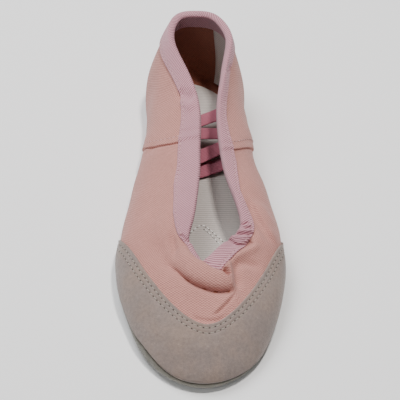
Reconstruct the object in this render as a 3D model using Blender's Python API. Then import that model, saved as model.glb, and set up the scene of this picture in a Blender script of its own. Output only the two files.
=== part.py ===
"""Soft split-sole ballet slipper, standing empty on its sole.

Metres, +Z up, toe toward -Y, heel toward +Y, origin under the middle of the shoe on the floor.
The tables below are in millimetres. A place along the shoe is t, its distance from the toe.
"""

from collections import namedtuple

import bpy
import numpy as np

MM = 0.001

# Driving sizes, in millimetres
LENGTH = 235.0
MIDDLE_X = 0.4
CANVAS = 1.4
SEAT = 0.3
SUEDE = 1.2
SOLE = 1.8
INSOLE = 1.0
TAPE = 0.8
TAPE_WIDTH = 10.0
TAPE_SEAT = 0.5
CAP_SEAT = 0.7
ELASTIC_WIDTH = 9.6
ELASTIC = 0.9

# One row for each rib of the last, from the middle of the heel round one side to the tip of the toe.
# foot is where the side turns under, low is how far the rib leaves it outward and upward,
# and high is the point that the rib leans toward below the collar.
Rib = namedtuple("Rib", "foot_x foot_t foot_z low_out low_up high_x high_t high_z")
RIBS = (
    Rib(0.0, 226.2, 2.4, 10.5, 0.5, 0.0, 236.0, 35.5),
    Rib(13.5, 222.0, 2.2, 10.5, 0.5, 14.6, 232.3, 35.3),
    Rib(21.5, 209.0, 2.1, 10.0, 0.5, 26.8, 216.4, 34.5),
    Rib(23.0, 191.0, 2.5, 9.5, 0.5, 30.0, 194.6, 33.0),
    Rib(22.5, 173.0, 5.0, 9.0, 1.0, 32.8, 172.6, 33.2),
    Rib(23.0, 153.0, 6.6, 9.5, 1.0, 39.5, 146.5, 29.0),
    Rib(26.5, 132.0, 6.0, 11.0, 1.0, 40.5, 134.5, 28.0),
    Rib(32.5, 109.0, 3.2, 10.5, 0.5, 44.5, 116.4, 28.5),
    Rib(36.0, 85.0, 2.1, 9.5, 0.5, 48.6, 92.2, 28.5),
    Rib(36.2, 62.0, 2.1, 9.0, 0.5, 49.0, 75.5, 28.5),
    Rib(31.0, 35.0, 2.1, 9.0, 0.5, 42.5, 57.0, 27.0),
    Rib(19.5, 12.0, 2.6, 8.0, 1.0, 28.0, 32.0, 25.5),
    Rib(0.0, 2.8, 3.2, 7.0, 1.5, 0.0, 17.5, 25.0),
)

# The collar's edge at the same ribs. The empty upper leans in more on its left side.
Edge = namedtuple("Edge", "left_x left_t left_z right_x right_t right_z")
COLLAR = (
    Edge(0.0, 231.0, 53.5, 0.0, 231.0, 53.5),
    Edge(-10.5, 228.0, 53.3, 11.0, 228.0, 53.3),
    Edge(-15.5, 214.0, 51.5, 17.5, 214.0, 51.5),
    Edge(-9.5, 195.0, 47.0, 14.2, 195.0, 47.0),
    Edge(-0.9, 169.0, 41.4, 11.0, 169.0, 41.4),
    Edge(-0.3, 140.5, 36.8, 11.9, 141.5, 37.0),
    Edge(-0.8, 123.0, 35.0, 13.9, 124.0, 35.1),
    Edge(-1.8, 110.0, 33.9, 16.4, 110.0, 33.9),
    Edge(-4.4, 89.0, 32.0, 21.2, 90.0, 32.0),
    Edge(-7.4, 76.0, 30.0, 20.3, 79.0, 30.5),
    Edge(-6.3, 67.5, 28.6, 12.4, 71.0, 29.0),
    Edge(-3.2, 62.3, 27.6, 5.2, 63.5, 27.8),
    Edge(0.4, 60.0, 27.2, 0.4, 60.0, 27.2),
)

# The side seams, the toe cap's edge, the soles' rims, the holes that the soles close, and the insole
SEAM_STEP = 0.5
SEAM_RIB = 5
SEAM_RAMP = 0.004
SEAM_CLEAR = 0.3
SEAM_START = 9.0
SEAM_FADE = 4.0
CAP_FRONT = 25.5
CAP_RISE = 0.083
CAP_POWER = 1.75
CAP_SHIFT = 1.5
CAP_END = 96.0
CAP_TAPER = 78.0
CAP_TAIL = 4.0
CAP_GAP = 0.5
RIM_SETTLES = 35.0
RIM_DIES = 0.45
RIM_THINS = 0.12
END_POWER = 2.2
FRONT_HOLE = (24.0, 92.0)
HEEL_HOLE = (190.0, 214.0)
HOLE_SPAN = 0.8
INSOLE_INSET = 1.5
INSOLE_ENDS = (10.5, 223.5)
INSOLE_POWER = 14

# The sole's two patches: where each begins on the ring, where its sides begin to close and its round
# end is, how many rows its rim climbs, and the shares of that height at its tip and its two sides.
Patch = namedtuple("Patch", "name tip_u side_t end_t rim_rows tip_share left_share right_share")
FRONT_SOLE = Patch("front_sole", 0.5, 70.0, 108.0, 4, 0.42, 1.0, 0.6)
HEEL_SOLE = Patch("heel_sole", 0.0, 199.0, 178.0, 3, 1.0, 1.0, 1.0)

# The elastic that shows in the opening: its place on the shoe's centre line, how far it slants
# for each millimetre to the right, and its height there. Its ends lie ELASTIC_SAG higher.
Elastic = namedtuple("Elastic", "name middle_t slant middle_z")
ELASTICS = (
    Elastic("elastic_1", 140.8, 0.40, 11.5),
    Elastic("elastic_2", 148.8, 0.55, 15.0),
    Elastic("elastic_3", 167.6, -0.06, 16.5),
    Elastic("elastic_4", 179.6, 0.45, 14.0),
)
ELASTIC_SAG = 2.5
ELASTIC_END_X = 28.0
ELASTIC_END_GAP = 0.4
ELASTIC_CUTS = 11
ELASTIC_COLS = 3

# The part of the side walls where the elastics end, on the ring and up the ribs
WALL_U = (0.07, 0.45)
WALL_Q = (1.05, 1.8)
WALL_CUTS = 300

# How finely the surfaces are cut
RING_CUTS = 80
RIB_CUTS = 14
RIB_STEPS = 48
SIDE_CUTS = 400
FOOT_ROW = 2.2
BOTTOM_CUTS = 6
CAP_ROWS = 11
CAP_SEARCH = 241
CAP_CLEAR = 0.004
INSOLE_ROWS = 25
INSOLE_COLS = 7
END_CLEAR = 0.04
END_ROWS = (0.0, 0.006, 0.02)
STEP_U = 1e-4
STEP_Q = 1e-3
SHARP_ANGLE = 0.9


def periodic_spline(knots, values, at):
    """Smooth closed curve through the rows of values: a periodic cubic spline, solved for its bends."""
    n = len(knots) - 1
    h = np.diff(knots)
    system = np.zeros((n, n))
    right = np.zeros((n, values.shape[1]))
    for i in range(n):
        before, after = h[i - 1], h[i]
        system[i, i - 1] += before
        system[i, i] += 2.0 * (before + after)
        system[i, (i + 1) % n] += after
        rise = (values[(i + 1) % n] - values[i]) / after
        fall = (values[i] - values[i - 1]) / before
        right[i] = 6.0 * (rise - fall)
    bends = np.linalg.solve(system, right)
    at = np.mod(at, 1.0)
    k = np.clip(np.searchsorted(knots, at, side="right") - 1, 0, n - 1)
    nxt = (k + 1) % n
    width = h[k][:, None]
    a = (knots[k + 1] - at)[:, None] / width
    b = 1.0 - a
    curve = a * values[k] + b * values[nxt]
    bend = (a**3 - a) * bends[k] + (b**3 - b) * bends[nxt]
    return curve + bend * width**2 / 6.0


def ring_tables():
    """The ribs and the collar as closed rings: down the left side, round the toe and back up the right."""
    left = [(-r.foot_x, *r[1:5], -r.high_x, *r[6:]) for r in RIBS]
    right = [tuple(r) for r in RIBS[-2:0:-1]]
    edge_left = [(e.left_x, e.left_t, e.left_z) for e in COLLAR]
    edge_right = [(e.right_x, e.right_t, e.right_z) for e in COLLAR[-2:0:-1]]
    rows = np.hstack([np.array(left + right), np.array(edge_left + edge_right)])
    steps = np.linalg.norm(np.roll(rows[:, :2], -1, axis=0) - rows[:, :2], axis=1)
    knots = np.concatenate([[0.0], np.cumsum(steps)]) / steps.sum()
    return knots, rows


KNOTS, ROWS = ring_tables()
U_SEAM = KNOTS[SEAM_RIB]


def ribs_at(u):
    """Foot, low handle, high handle and collar point of the ribs at u."""
    rows = periodic_spline(KNOTS, ROWS, u)
    ahead = periodic_spline(KNOTS, ROWS, u + STEP_U)[:, :2]
    behind = periodic_spline(KNOTS, ROWS, u - STEP_U)[:, :2]
    along = ahead - behind
    along /= np.linalg.norm(along, axis=1)[:, None]
    out = np.stack([along[:, 1], -along[:, 0], np.zeros(len(u))], axis=1)
    up = np.array([0.0, 0.0, 1.0])
    foot = rows[:, 0:3]
    foot[:, 2] = np.maximum(foot[:, 2], SEAT + SOLE)
    low = foot + out * rows[:, 3:4] + up * rows[:, 4:5]
    return foot, low, rows[:, 5:8], rows[:, 8:11]


def skin(u, q):
    """Outer face of the canvas. q runs 0 to 1 over the bottom, from its middle to the foot line,
    and 1 to 2 up the rib to the collar, along a cubic Bezier curve."""
    foot, low, high, edge = ribs_at(u)
    v = np.clip(q - 1.0, 0.0, 1.0)[:, None]
    w = 1.0 - v
    rib = w**3 * foot + 3 * w**2 * v * low + 3 * w * v**2 * high + v**3 * edge
    bottom = foot.copy()
    bottom[:, 0] *= np.clip(q, 0.0, 1.0)
    return np.where((q < 1.0)[:, None], bottom, rib)


def outward(u, q):
    """Unit normals of the skin, from the cross product of its two directions."""
    along = skin(u + STEP_U, q) - skin(u - STEP_U, q)
    rise = skin(u, np.minimum(q + STEP_Q, 2.0)) - skin(u, np.maximum(q - STEP_Q, 0.0))
    normal = np.cross(along, rise)
    return normal / np.maximum(np.linalg.norm(normal, axis=1), 1e-12)[:, None]


def layer(u, q, off):
    """Points off millimetres outside the skin, or inside it where off is negative."""
    u, q = np.broadcast_arrays(np.asarray(u, float), np.asarray(q, float))
    flat_u, flat_q = u.ravel(), q.ravel()
    normal = outward(flat_u, np.where(np.abs(mirror_gap(flat_u)) < 1e-9, np.maximum(flat_q, 1.0), flat_q))
    points = skin(flat_u, flat_q) + normal * np.broadcast_to(off, u.shape).ravel()[:, None]
    return points.reshape(*u.shape, 3)


def mirror_gap(u):
    """Zero at the middle of the heel and at the tip of the toe, where the two sides meet."""
    return np.sin(2.0 * np.pi * u)


def rib_lengths(u):
    """Lengths from the foot line to even steps of q up each rib, one row for each rib."""
    q = np.linspace(1.0, 2.0, RIB_STEPS + 1)
    line = skin(np.repeat(u, len(q)), np.tile(q, len(u))).reshape(len(u), len(q), 3)
    steps = np.linalg.norm(np.diff(line, axis=1), axis=2)
    return np.hstack([np.zeros((len(u), 1)), np.cumsum(steps, axis=1)])


def climb(u, s):
    """The q of a point s millimetres up the rib from the foot line."""
    lengths = rib_lengths(u)
    rows = np.arange(len(u))
    s = np.clip(s, 0.0, lengths[:, -1])
    k = np.clip((lengths <= s[:, None]).sum(axis=1) - 1, 0, RIB_STEPS - 1)
    part = (s - lengths[rows, k]) / (lengths[rows, k + 1] - lengths[rows, k])
    return 1.0 + (k + part) / RIB_STEPS


def height_up(u, q):
    """The reverse of climb: how far up the rib the point at q is."""
    lengths = rib_lengths(u)
    rows = np.arange(len(u))
    place = np.clip(q - 1.0, 0.0, 1.0) * RIB_STEPS
    k = np.clip(place.astype(int), 0, RIB_STEPS - 1)
    return lengths[rows, k] + (place - k) * (lengths[rows, k + 1] - lengths[rows, k])


def drop(u, s):
    """The q of a point s millimetres down the rib from the collar."""
    return climb(u, rib_lengths(u)[:, -1] - s)


U_LEFT = np.linspace(0.0, 0.5, SIDE_CUTS)
T_LEFT = skin(U_LEFT, np.ones(len(U_LEFT)))[:, 1]


def u_at(t):
    """Ring place on the left side whose foot line is t from the toe."""
    return np.interp(t, T_LEFT[::-1], U_LEFT[::-1])


def half_width(t):
    """Half width of the bottom at t."""
    return np.abs(ribs_at(np.atleast_1d(u_at(t)))[0][:, 0])


def world(points):
    """Shoe millimetres to metres about the origin."""
    return (points - np.array([MIDDLE_X, LENGTH / 2.0, 0.0])) * MM


def material(name, color, roughness):
    """Plain finish of one piece."""
    finish = bpy.data.materials.new(name)
    finish.use_nodes = True
    shader = finish.node_tree.nodes["Principled BSDF"]
    shader.inputs["Base Color"].default_value = (*color, 1.0)
    shader.inputs["Roughness"].default_value = roughness
    return finish


def volume(points, faces):
    """Six times the volume inside a closed mesh, below zero where its faces point inward."""
    fans = [(f[0], f[k], f[k + 1]) for f in faces for k in range(1, len(f) - 1)]
    return np.linalg.det(points[np.array(fans)]).sum()


def add_object(name, points, faces, finish):
    """One closed mesh object from points in metres, its faces outward."""
    faces = [tuple(int(i) for i in face) for face in faces]
    if volume(points, faces) < 0.0:
        faces = [face[::-1] for face in faces]
    mesh = bpy.data.meshes.new(name)
    mesh.from_pydata(points.tolist(), [], faces)
    mesh.validate()
    mesh.materials.append(finish)
    mesh.shade_smooth()
    mesh.set_sharp_from_angle(angle=SHARP_ANGLE)
    obj = bpy.data.objects.new(name, mesh)
    bpy.context.scene.collection.objects.link(obj)
    return obj


def grid_faces(rows, cols, wrap=False):
    """Quads of a grid of points, with the rows joined into a ring where wrap is set."""
    count = rows if wrap else rows - 1
    i, j = np.meshgrid(np.arange(count), np.arange(cols - 1), indexing="ij")
    nxt = (i + 1) % rows
    quads = np.stack([i * cols + j, nxt * cols + j, nxt * cols + j + 1, i * cols + j + 1], axis=-1)
    return quads.reshape(-1, 4)


def weld(points, faces):
    """One index for each place, and the faces without the corners that fell together."""
    _, first, index = np.unique(np.round(points, 4), axis=0, return_index=True, return_inverse=True)
    index = index.reshape(-1)
    kept = []
    for face in index[faces]:
        corners = [c for k, c in enumerate(face) if c != face[k - 1]]
        if len(set(corners)) == len(corners) >= 3:
            kept.append(corners)
    return first, kept


def shell(name, outer, inner, faces, finish):
    """Closed solid between two like sheets, with a narrow face across at each of their free edges."""
    outer, inner = outer.reshape(-1, 3), inner.reshape(-1, 3)
    first, kept = weld(outer, faces)
    outer, inner = outer[first], inner[first]
    n = len(outer)
    solid = [list(f) for f in kept] + [[i + n for i in reversed(f)] for f in kept]
    edges = {(f[k - 1], f[k]) for f in kept for k in range(len(f))}
    for a, b in sorted(edges):
        if (b, a) not in edges:
            solid.append([b, a, a + n, b + n])
    return add_object(name, world(np.vstack([outer, inner])), solid, finish)


def seam_raise(u):
    """The rear quarter stands a step proud of the vamp behind both side seams."""
    behind = np.minimum(u, 1.0 - u)
    return SEAM_STEP * np.clip((U_SEAM - behind) / SEAM_RAMP + 0.5, 0.0, 1.0)


def ring_places():
    """Ring places, evenly spaced, with two more at each side seam's step."""
    even = np.arange(RING_CUTS) / RING_CUTS
    half = SEAM_RAMP / 2.0
    step = np.array([U_SEAM - half, U_SEAM + half])
    steps = np.concatenate([step, 1.0 - step])
    near = np.abs(even[:, None] - steps[None, :]).min(axis=1) < SEAM_CLEAR / RING_CUTS
    return np.sort(np.concatenate([even[~near], steps]))


def rib_rows(u):
    """Lengths up each rib of the upper's rows: a few close ones where the soles' rims lie, then even ones."""
    length = rib_lengths(u)[:, -1]
    low = [np.full(len(u), FOOT_ROW * k) for k in range(FRONT_SOLE.rim_rows)]
    start = FOOT_ROW * FRONT_SOLE.rim_rows
    shares = np.linspace(0.0, 1.0, RIB_CUTS - FRONT_SOLE.rim_rows + 1)
    return low + [start + (length - start) * share for share in shares]


def build_upper(finish):
    """Hollow canvas upper: ribs all round, and a bottom with a hole where each sole closes it."""
    u = ring_places()
    rows, cols = len(u), RIB_CUTS + 1
    ring_u = np.repeat(u[:, None], cols, 1)
    climbed = np.stack(rib_rows(u), axis=1)
    ring_q = np.stack([climb(u, s) for s in climbed.T], axis=1)
    lift = seam_raise(u)[:, None] * np.clip((climbed - SEAM_START) / SEAM_FADE, 0.0, 1.0)
    side_out = layer(ring_u, ring_q, lift)
    side_in = layer(ring_u, ring_q, -CANVAS)
    faces = [grid_faces(rows, cols, wrap=True)]

    left = u[u <= 0.5 + 1e-9]
    w = np.linspace(-1.0, 1.0, BOTTOM_CUTS + 1)
    pair_u = np.where(w[None, :] <= 0.0, left[:, None], 1.0 - left[:, None])
    pair_q = np.repeat(np.abs(w)[None, :], len(left), 0)
    base_out = layer(pair_u, pair_q, 0.0)
    base_in = layer(pair_u, pair_q, -CANVAS)
    base = grid_faces(len(left), len(w))
    middle = base_out.reshape(-1, 3)[base].mean(axis=1)
    across = np.abs(w)[base % len(w)].max(axis=1)
    open_part = np.zeros(len(base), bool)
    for start, end in (FRONT_HOLE, HEEL_HOLE):
        open_part |= (middle[:, 1] > start) & (middle[:, 1] < end) & (across < HOLE_SPAN)
    faces.append(base[~open_part][:, ::-1] + rows * cols)
    outer = np.vstack([side_out.reshape(-1, 3), base_out.reshape(-1, 3)])
    inner = np.vstack([side_in.reshape(-1, 3), base_in.reshape(-1, 3)])
    return shell("upper", outer, inner, np.vstack(faces), finish)


def row_places(tip_u, end_t):
    """Places of a sole patch's rows: at the upper's own ribs, and close together at the round end."""
    ring = ring_places()
    end_u = float(u_at(end_t))
    inside = ring[(ring >= min(tip_u, end_u)) & (ring <= max(tip_u, end_u) + 1e-9)]
    inside = inside[np.abs(inside - end_u) > END_CLEAR * abs(end_u - tip_u)]
    near_end = end_u + (tip_u - end_u) * np.array(END_ROWS)
    rows = np.concatenate([inside, near_end])
    rows = rows[np.argsort(np.abs(rows - tip_u))]
    return np.interp(rows, U_LEFT, T_LEFT)


def past_side(patch, t):
    """How far t lies past the place where the patch's sides begin to close, as a share of its round end."""
    return (t - patch.side_t) / (patch.end_t - patch.side_t)


def rim_height(patch, u):
    """Millimetres that the patch's rim climbs at u: low at its tip, and gone before the round end."""
    t = np.interp(np.where(u > 0.5, 1.0 - u, u), U_LEFT, T_LEFT)
    tip_t = np.interp(patch.tip_u, U_LEFT, T_LEFT)
    ease = np.clip(np.abs(t - tip_t) / RIM_SETTLES, 0.0, 1.0)
    side_share = np.where(u > 0.5, patch.right_share, patch.left_share)
    share = patch.tip_share + (side_share - patch.tip_share) * ease**2 * (3.0 - 2.0 * ease)
    return FOOT_ROW * patch.rim_rows * share * np.clip(1.0 - past_side(patch, t) / RIM_DIES, 0.0, 1.0)


def bottom_share(patch, t):
    """How much of the bottom's width the patch covers at t: all of it, up to the round end."""
    past_rim = np.clip((past_side(patch, t) - RIM_DIES) / (1.0 - RIM_DIES), 0.0, 1.0)
    return np.sqrt(1.0 - past_rim**END_POWER)


def build_sole(patch, finish):
    """Suede sole patch: thick under the foot, thinner where it turns up as a rim."""
    t = row_places(patch.tip_u, patch.end_t)
    bottom = np.linspace(0.0, 1.0, BOTTOM_CUTS // 2 + 1) * bottom_share(patch, t)[:, None]
    left, right = u_at(t), 1.0 - u_at(t)
    halves = []
    for u in (left, right):
        climbed = rim_height(patch, u)[:, None] * np.arange(1, patch.rim_rows + 1) / patch.rim_rows
        rim = np.stack([climb(u, column) for column in climbed.T], axis=1)
        halves.append(np.hstack([bottom, np.where(climbed > 0.0, rim, bottom[:, -1:])]))
    q = np.hstack([halves[0][:, :0:-1], halves[1]])
    on_left = np.arange(q.shape[1]) < q.shape[1] // 2
    pair_u = np.where(on_left[None, :], left[:, None], right[:, None])
    thick = SOLE + (SUEDE - SOLE) * np.clip((q - 1.0) / RIM_THINS, 0.0, 1.0)
    outer = layer(pair_u, q, SEAT + thick)
    inner = layer(pair_u, q, SEAT)
    return shell(patch.name, outer, inner, grid_faces(*q.shape), finish)


def cap_edge_t(x):
    """Upper edge of the toe cap seen from above: a rounded V, by a power of the distance aside."""
    return CAP_FRONT + CAP_RISE * np.abs(x - CAP_SHIFT) ** CAP_POWER


def cap_top(u):
    """q of the toe cap's upper edge on each rib: the highest point that lies inside the rounded V."""
    q = np.linspace(1.0, 2.0, CAP_SEARCH)
    grid = skin(np.repeat(u, len(q)), np.tile(q, len(u))).reshape(len(u), len(q), 3)
    beyond = grid[:, :, 1] - cap_edge_t(grid[:, :, 0])
    last = len(q) - 1 - np.argmax((beyond < 0.0)[:, ::-1], axis=1)
    last = np.where((beyond < 0.0).any(axis=1), np.minimum(last, len(q) - 2), 0)
    rows = np.arange(len(u))
    low, high = beyond[rows, last], beyond[rows, last + 1]
    return q[last] + (q[1] - q[0]) * np.clip(-low / np.maximum(high - low, 1e-6), 0.0, 1.0)


def build_toe_cap(finish):
    """Suede toe cap on the canvas, from the sole's rim up to its V-shaped edge."""
    end = u_at(CAP_END)
    ring = ring_places()
    inside = (ring > end + CAP_CLEAR) & (ring < 1.0 - end - CAP_CLEAR)
    u = np.concatenate([[end], ring[inside], [1.0 - end]])
    side = np.where(u > 0.5, 1.0 - u, u)
    foot_t = np.interp(side, U_LEFT, T_LEFT)
    low = CAP_GAP + rim_height(FRONT_SOLE, u)
    high = height_up(u, cap_top(u))
    fade = np.clip((foot_t - CAP_TAPER) / (CAP_END - CAP_TAPER), 0.0, 1.0)
    taper_start = np.interp(u_at(CAP_TAPER), u, high)
    high = np.where(foot_t > CAP_TAPER, taper_start + (low + CAP_TAIL - taper_start) * fade, high)
    shares = np.linspace(0.0, 1.0, CAP_ROWS + 1)
    q = np.stack([climb(u, low + (high - low) * share) for share in shares], axis=1)
    grid_u = np.repeat(u[:, None], len(shares), 1)
    outer = layer(grid_u, q, CAP_SEAT + SUEDE)
    inner = layer(grid_u, q, CAP_SEAT)
    return shell("toe_cap", outer, inner, grid_faces(*q.shape), finish)


def build_binding(finish):
    """Tape folded over the collar: an outer leaf, the fold above the edge, and an inner leaf."""
    u = ring_places()
    near, far = TAPE_SEAT, TAPE_SEAT + TAPE
    proud = seam_raise(u)
    profile = []
    for depth in (TAPE_WIDTH, TAPE_WIDTH / 2.0, 0.0):
        profile.append((depth, far + proud))
    profile.append((-far, near + proud))
    profile.append((-far, -CANVAS - near))
    for depth in (0.0, TAPE_WIDTH / 2.0, TAPE_WIDTH):
        profile.append((depth, -CANVAS - far))
    for depth in (TAPE_WIDTH, TAPE_WIDTH / 2.0, 0.0):
        profile.append((depth, -CANVAS - near))
    profile.append((-near, -CANVAS / 2.0))
    for depth in (0.0, TAPE_WIDTH / 2.0, TAPE_WIDTH):
        profile.append((depth, near + proud))
    edge = skin(u, np.full(len(u), 2.0))
    rise = edge - skin(u, np.full(len(u), 1.98))
    rise /= np.linalg.norm(rise, axis=1)[:, None]
    loops = []
    for depth, off in profile:
        above = max(-depth, 0.0)
        points = layer(u, drop(u, max(depth, 0.0)), off)
        loops.append(points + rise * above)
    grid = np.stack(loops, axis=1)
    rows, cols = grid.shape[:2]
    i, j = np.meshgrid(np.arange(rows), np.arange(cols), indexing="ij")
    ni, nj = (i + 1) % rows, (j + 1) % cols
    faces = np.stack([i * cols + j, ni * cols + j, ni * cols + nj, i * cols + nj], axis=-1).reshape(-1, 4)
    return add_object("collar_binding", world(grid.reshape(-1, 3)), faces, finish)


def build_insole(finish):
    """Cotton insole lying on the canvas bottom."""
    start, end = INSOLE_ENDS
    middle, reach = (start + end) / 2.0, (end - start) / 2.0
    places = middle - reach * np.cos(np.linspace(0.0, np.pi, INSOLE_ROWS))
    u = u_at(places)
    half = half_width(places)
    taper = np.sqrt(np.clip(1.0 - np.abs((places - middle) / reach) ** INSOLE_POWER, 0.0, 1.0))
    w = np.linspace(-1.0, 1.0, INSOLE_COLS)
    wide = np.maximum(half - INSOLE_INSET, 0.0) * taper / half
    pair_u = np.where(w[None, :] <= 0.0, u[:, None], 1.0 - u[:, None])
    pair_q = np.abs(w)[None, :] * wide[:, None]
    low = layer(pair_u, pair_q, -CANVAS - SEAT)
    top = layer(pair_u, pair_q, -CANVAS - SEAT - INSOLE)
    return shell("insole", top, low, grid_faces(len(places), len(w)), finish)


def inner_walls():
    """Close places all over the canvas's inner face, on the left side and on the right."""
    u = np.repeat(np.linspace(*WALL_U, WALL_CUTS), WALL_CUTS)
    q = np.tile(np.linspace(*WALL_Q, WALL_CUTS), WALL_CUTS)
    return layer(u, q, -CANVAS), layer(1.0 - u, q, -CANVAS)


def end_x(row, wall, sign):
    """How far out the elastic's end may lie: where its nearest corner meets the wall, less a gap."""
    across = np.array([-row.slant, 1.0]) / np.hypot(row.slant, 1.0) * ELASTIC_WIDTH / 2.0
    top = row.middle_z + ELASTIC_SAG
    x = sign * ELASTIC_END_X
    for _ in range(4):
        reaches = []
        for side in (-1.0, 0.0, 1.0):
            t = row.middle_t + row.slant * x + side * across[1]
            for z in (top, top - ELASTIC):
                nearest = np.argmin((wall[:, 1] - t) ** 2 + (wall[:, 2] - z) ** 2)
                reaches.append(abs(wall[nearest, 0]) - sign * side * across[0])
        x = sign * min(reaches)
    return x - sign * ELASTIC_END_GAP


def build_elastic(row, walls, finish):
    """Elastic tucked inside, slack from wall to wall: a band that sags between its two ends."""
    ends = [end_x(row, wall, sign) for wall, sign in zip(walls, (-1.0, 1.0))]
    x = np.linspace(ends[0], ends[1], ELASTIC_CUTS)
    place = (2.0 * x - ends[0] - ends[1]) / (ends[1] - ends[0])
    line = np.stack([x, row.middle_t + row.slant * x, row.middle_z + ELASTIC_SAG * place**2], axis=1)
    across = np.array([-row.slant, 1.0, 0.0]) / np.hypot(row.slant, 1.0)
    w = np.linspace(-0.5, 0.5, ELASTIC_COLS) * ELASTIC_WIDTH
    top = line[:, None, :] + across[None, None, :] * w[None, :, None]
    low = top - np.array([0.0, 0.0, ELASTIC])
    return shell(row.name, top, low, grid_faces(len(x), len(w)), finish)


def clear_scene():
    """Empties the scene."""
    for obj in list(bpy.data.objects):
        bpy.data.objects.remove(obj, do_unlink=True)


def main():
    """Builds the slipper's pieces."""
    clear_scene()
    build_upper(material("canvas", (0.60, 0.33, 0.28), 0.9))
    build_toe_cap(material("cap_suede", (0.31, 0.25, 0.23), 0.95))
    build_sole(FRONT_SOLE, material("sole_suede", (0.28, 0.24, 0.22), 0.95))
    build_sole(HEEL_SOLE, material("heel_suede", (0.29, 0.24, 0.22), 0.95))
    build_insole(material("cotton", (0.62, 0.60, 0.56), 0.9))
    build_binding(material("tape", (0.62, 0.38, 0.42), 0.8))
    walls = inner_walls()
    for number, row in enumerate(ELASTICS, start=1):
        build_elastic(row, walls, material(f"elastic_rib_{number}", (0.50, 0.22, 0.30), 0.7))


main()
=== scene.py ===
"""Looks of the soft split-sole ballet slipper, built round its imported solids.

Lengths are in millimetres until a mesh is made: x across the shoe, t back from the tip of the toe
and z up. A place on the upper is a ring place u, 0 at the middle of the heel, down its left side
to 0.5 at the toe and back up its right side, and q, 1 at the foot line and 2 at the collar.
"""

import logging
from dataclasses import dataclass, field
from enum import Enum
from typing import NamedTuple

import bpy
import numpy as np
from mathutils import Matrix, Vector


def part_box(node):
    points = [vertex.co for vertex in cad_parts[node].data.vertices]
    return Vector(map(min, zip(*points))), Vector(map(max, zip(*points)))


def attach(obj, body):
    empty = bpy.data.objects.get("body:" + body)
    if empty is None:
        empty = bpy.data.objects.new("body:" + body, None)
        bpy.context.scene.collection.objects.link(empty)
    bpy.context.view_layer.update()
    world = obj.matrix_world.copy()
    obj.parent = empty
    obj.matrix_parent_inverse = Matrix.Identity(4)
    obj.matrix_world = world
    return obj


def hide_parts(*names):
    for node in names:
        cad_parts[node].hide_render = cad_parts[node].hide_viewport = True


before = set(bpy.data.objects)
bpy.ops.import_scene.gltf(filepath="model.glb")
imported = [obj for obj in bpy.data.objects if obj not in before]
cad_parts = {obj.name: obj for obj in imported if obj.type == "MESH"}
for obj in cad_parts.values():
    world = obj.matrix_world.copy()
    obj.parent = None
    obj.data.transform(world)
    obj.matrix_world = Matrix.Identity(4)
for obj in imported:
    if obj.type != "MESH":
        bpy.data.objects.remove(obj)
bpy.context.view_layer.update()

MM = 0.001
BODY = "root"
LOG = logging.getLogger("slipper")


class Rib(NamedTuple):
    """One rib of the last: where the side turns under, its low handle, and its high point."""

    foot_x: float
    foot_t: float
    foot_z: float
    low_out: float
    low_up: float
    high_x: float
    high_t: float
    high_z: float


class Edge(NamedTuple):
    """The collar's edge at one rib, on the left side and on the right."""

    left_x: float
    left_t: float
    left_z: float
    right_x: float
    right_t: float
    right_z: float


RIBS = (
    Rib(0.0, 226.2, 2.4, 10.5, 0.5, 0.0, 236.0, 35.5),
    Rib(13.5, 222.0, 2.2, 10.5, 0.5, 14.6, 232.3, 35.3),
    Rib(21.5, 209.0, 2.1, 10.0, 0.5, 26.8, 216.4, 34.5),
    Rib(23.0, 191.0, 2.5, 9.5, 0.5, 30.0, 194.6, 33.0),
    Rib(22.5, 173.0, 5.0, 9.0, 1.0, 32.8, 172.6, 33.2),
    Rib(23.0, 153.0, 6.6, 9.5, 1.0, 39.5, 146.5, 29.0),
    Rib(26.5, 132.0, 6.0, 11.0, 1.0, 40.5, 134.5, 28.0),
    Rib(32.5, 109.0, 3.2, 10.5, 0.5, 44.5, 116.4, 28.5),
    Rib(36.0, 85.0, 2.1, 9.5, 0.5, 48.6, 92.2, 28.5),
    Rib(36.2, 62.0, 2.1, 9.0, 0.5, 49.0, 75.5, 28.5),
    Rib(31.0, 35.0, 2.1, 9.0, 0.5, 42.5, 57.0, 27.0),
    Rib(19.5, 12.0, 2.6, 8.0, 1.0, 28.0, 32.0, 25.5),
    Rib(0.0, 2.8, 3.2, 7.0, 1.5, 0.0, 17.5, 25.0),
)

COLLAR = (
    Edge(0.0, 231.0, 53.5, 0.0, 231.0, 53.5),
    Edge(-10.5, 228.0, 53.3, 11.0, 228.0, 53.3),
    Edge(-15.5, 214.0, 51.5, 17.5, 214.0, 51.5),
    Edge(-9.5, 195.0, 47.0, 14.2, 195.0, 47.0),
    Edge(-0.9, 169.0, 41.4, 11.0, 169.0, 41.4),
    Edge(-0.3, 140.5, 36.8, 11.9, 141.5, 37.0),
    Edge(-0.8, 123.0, 35.0, 13.9, 124.0, 35.1),
    Edge(-1.8, 110.0, 33.9, 16.4, 110.0, 33.9),
    Edge(-4.4, 89.0, 32.0, 21.2, 90.0, 32.0),
    Edge(-7.4, 76.0, 30.0, 20.3, 79.0, 30.5),
    Edge(-6.3, 67.5, 28.6, 12.4, 71.0, 29.0),
    Edge(-3.2, 62.3, 27.6, 5.2, 63.5, 27.8),
    Edge(0.4, 60.0, 27.2, 0.4, 60.0, 27.2),
)


def ease(x: np.ndarray) -> np.ndarray:
    """Smooth step from 0 to 1: 3 x squared less 2 x cubed, of x kept within 0 and 1."""
    x = np.clip(x, 0.0, 1.0)
    return x * x * (3.0 - 2.0 * x)


def bell(x: np.ndarray) -> np.ndarray:
    """Bell curve: e to the power of minus x squared."""
    return np.exp(-x * x)


def round_up(x: np.ndarray) -> np.ndarray:
    """Quarter circle from 0 at x of 0, steep at first, to 1 from x of 1 on."""
    x = np.clip(x, 0.0, 1.0)
    return np.sqrt(1.0 - (1.0 - x) ** 2)


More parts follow.
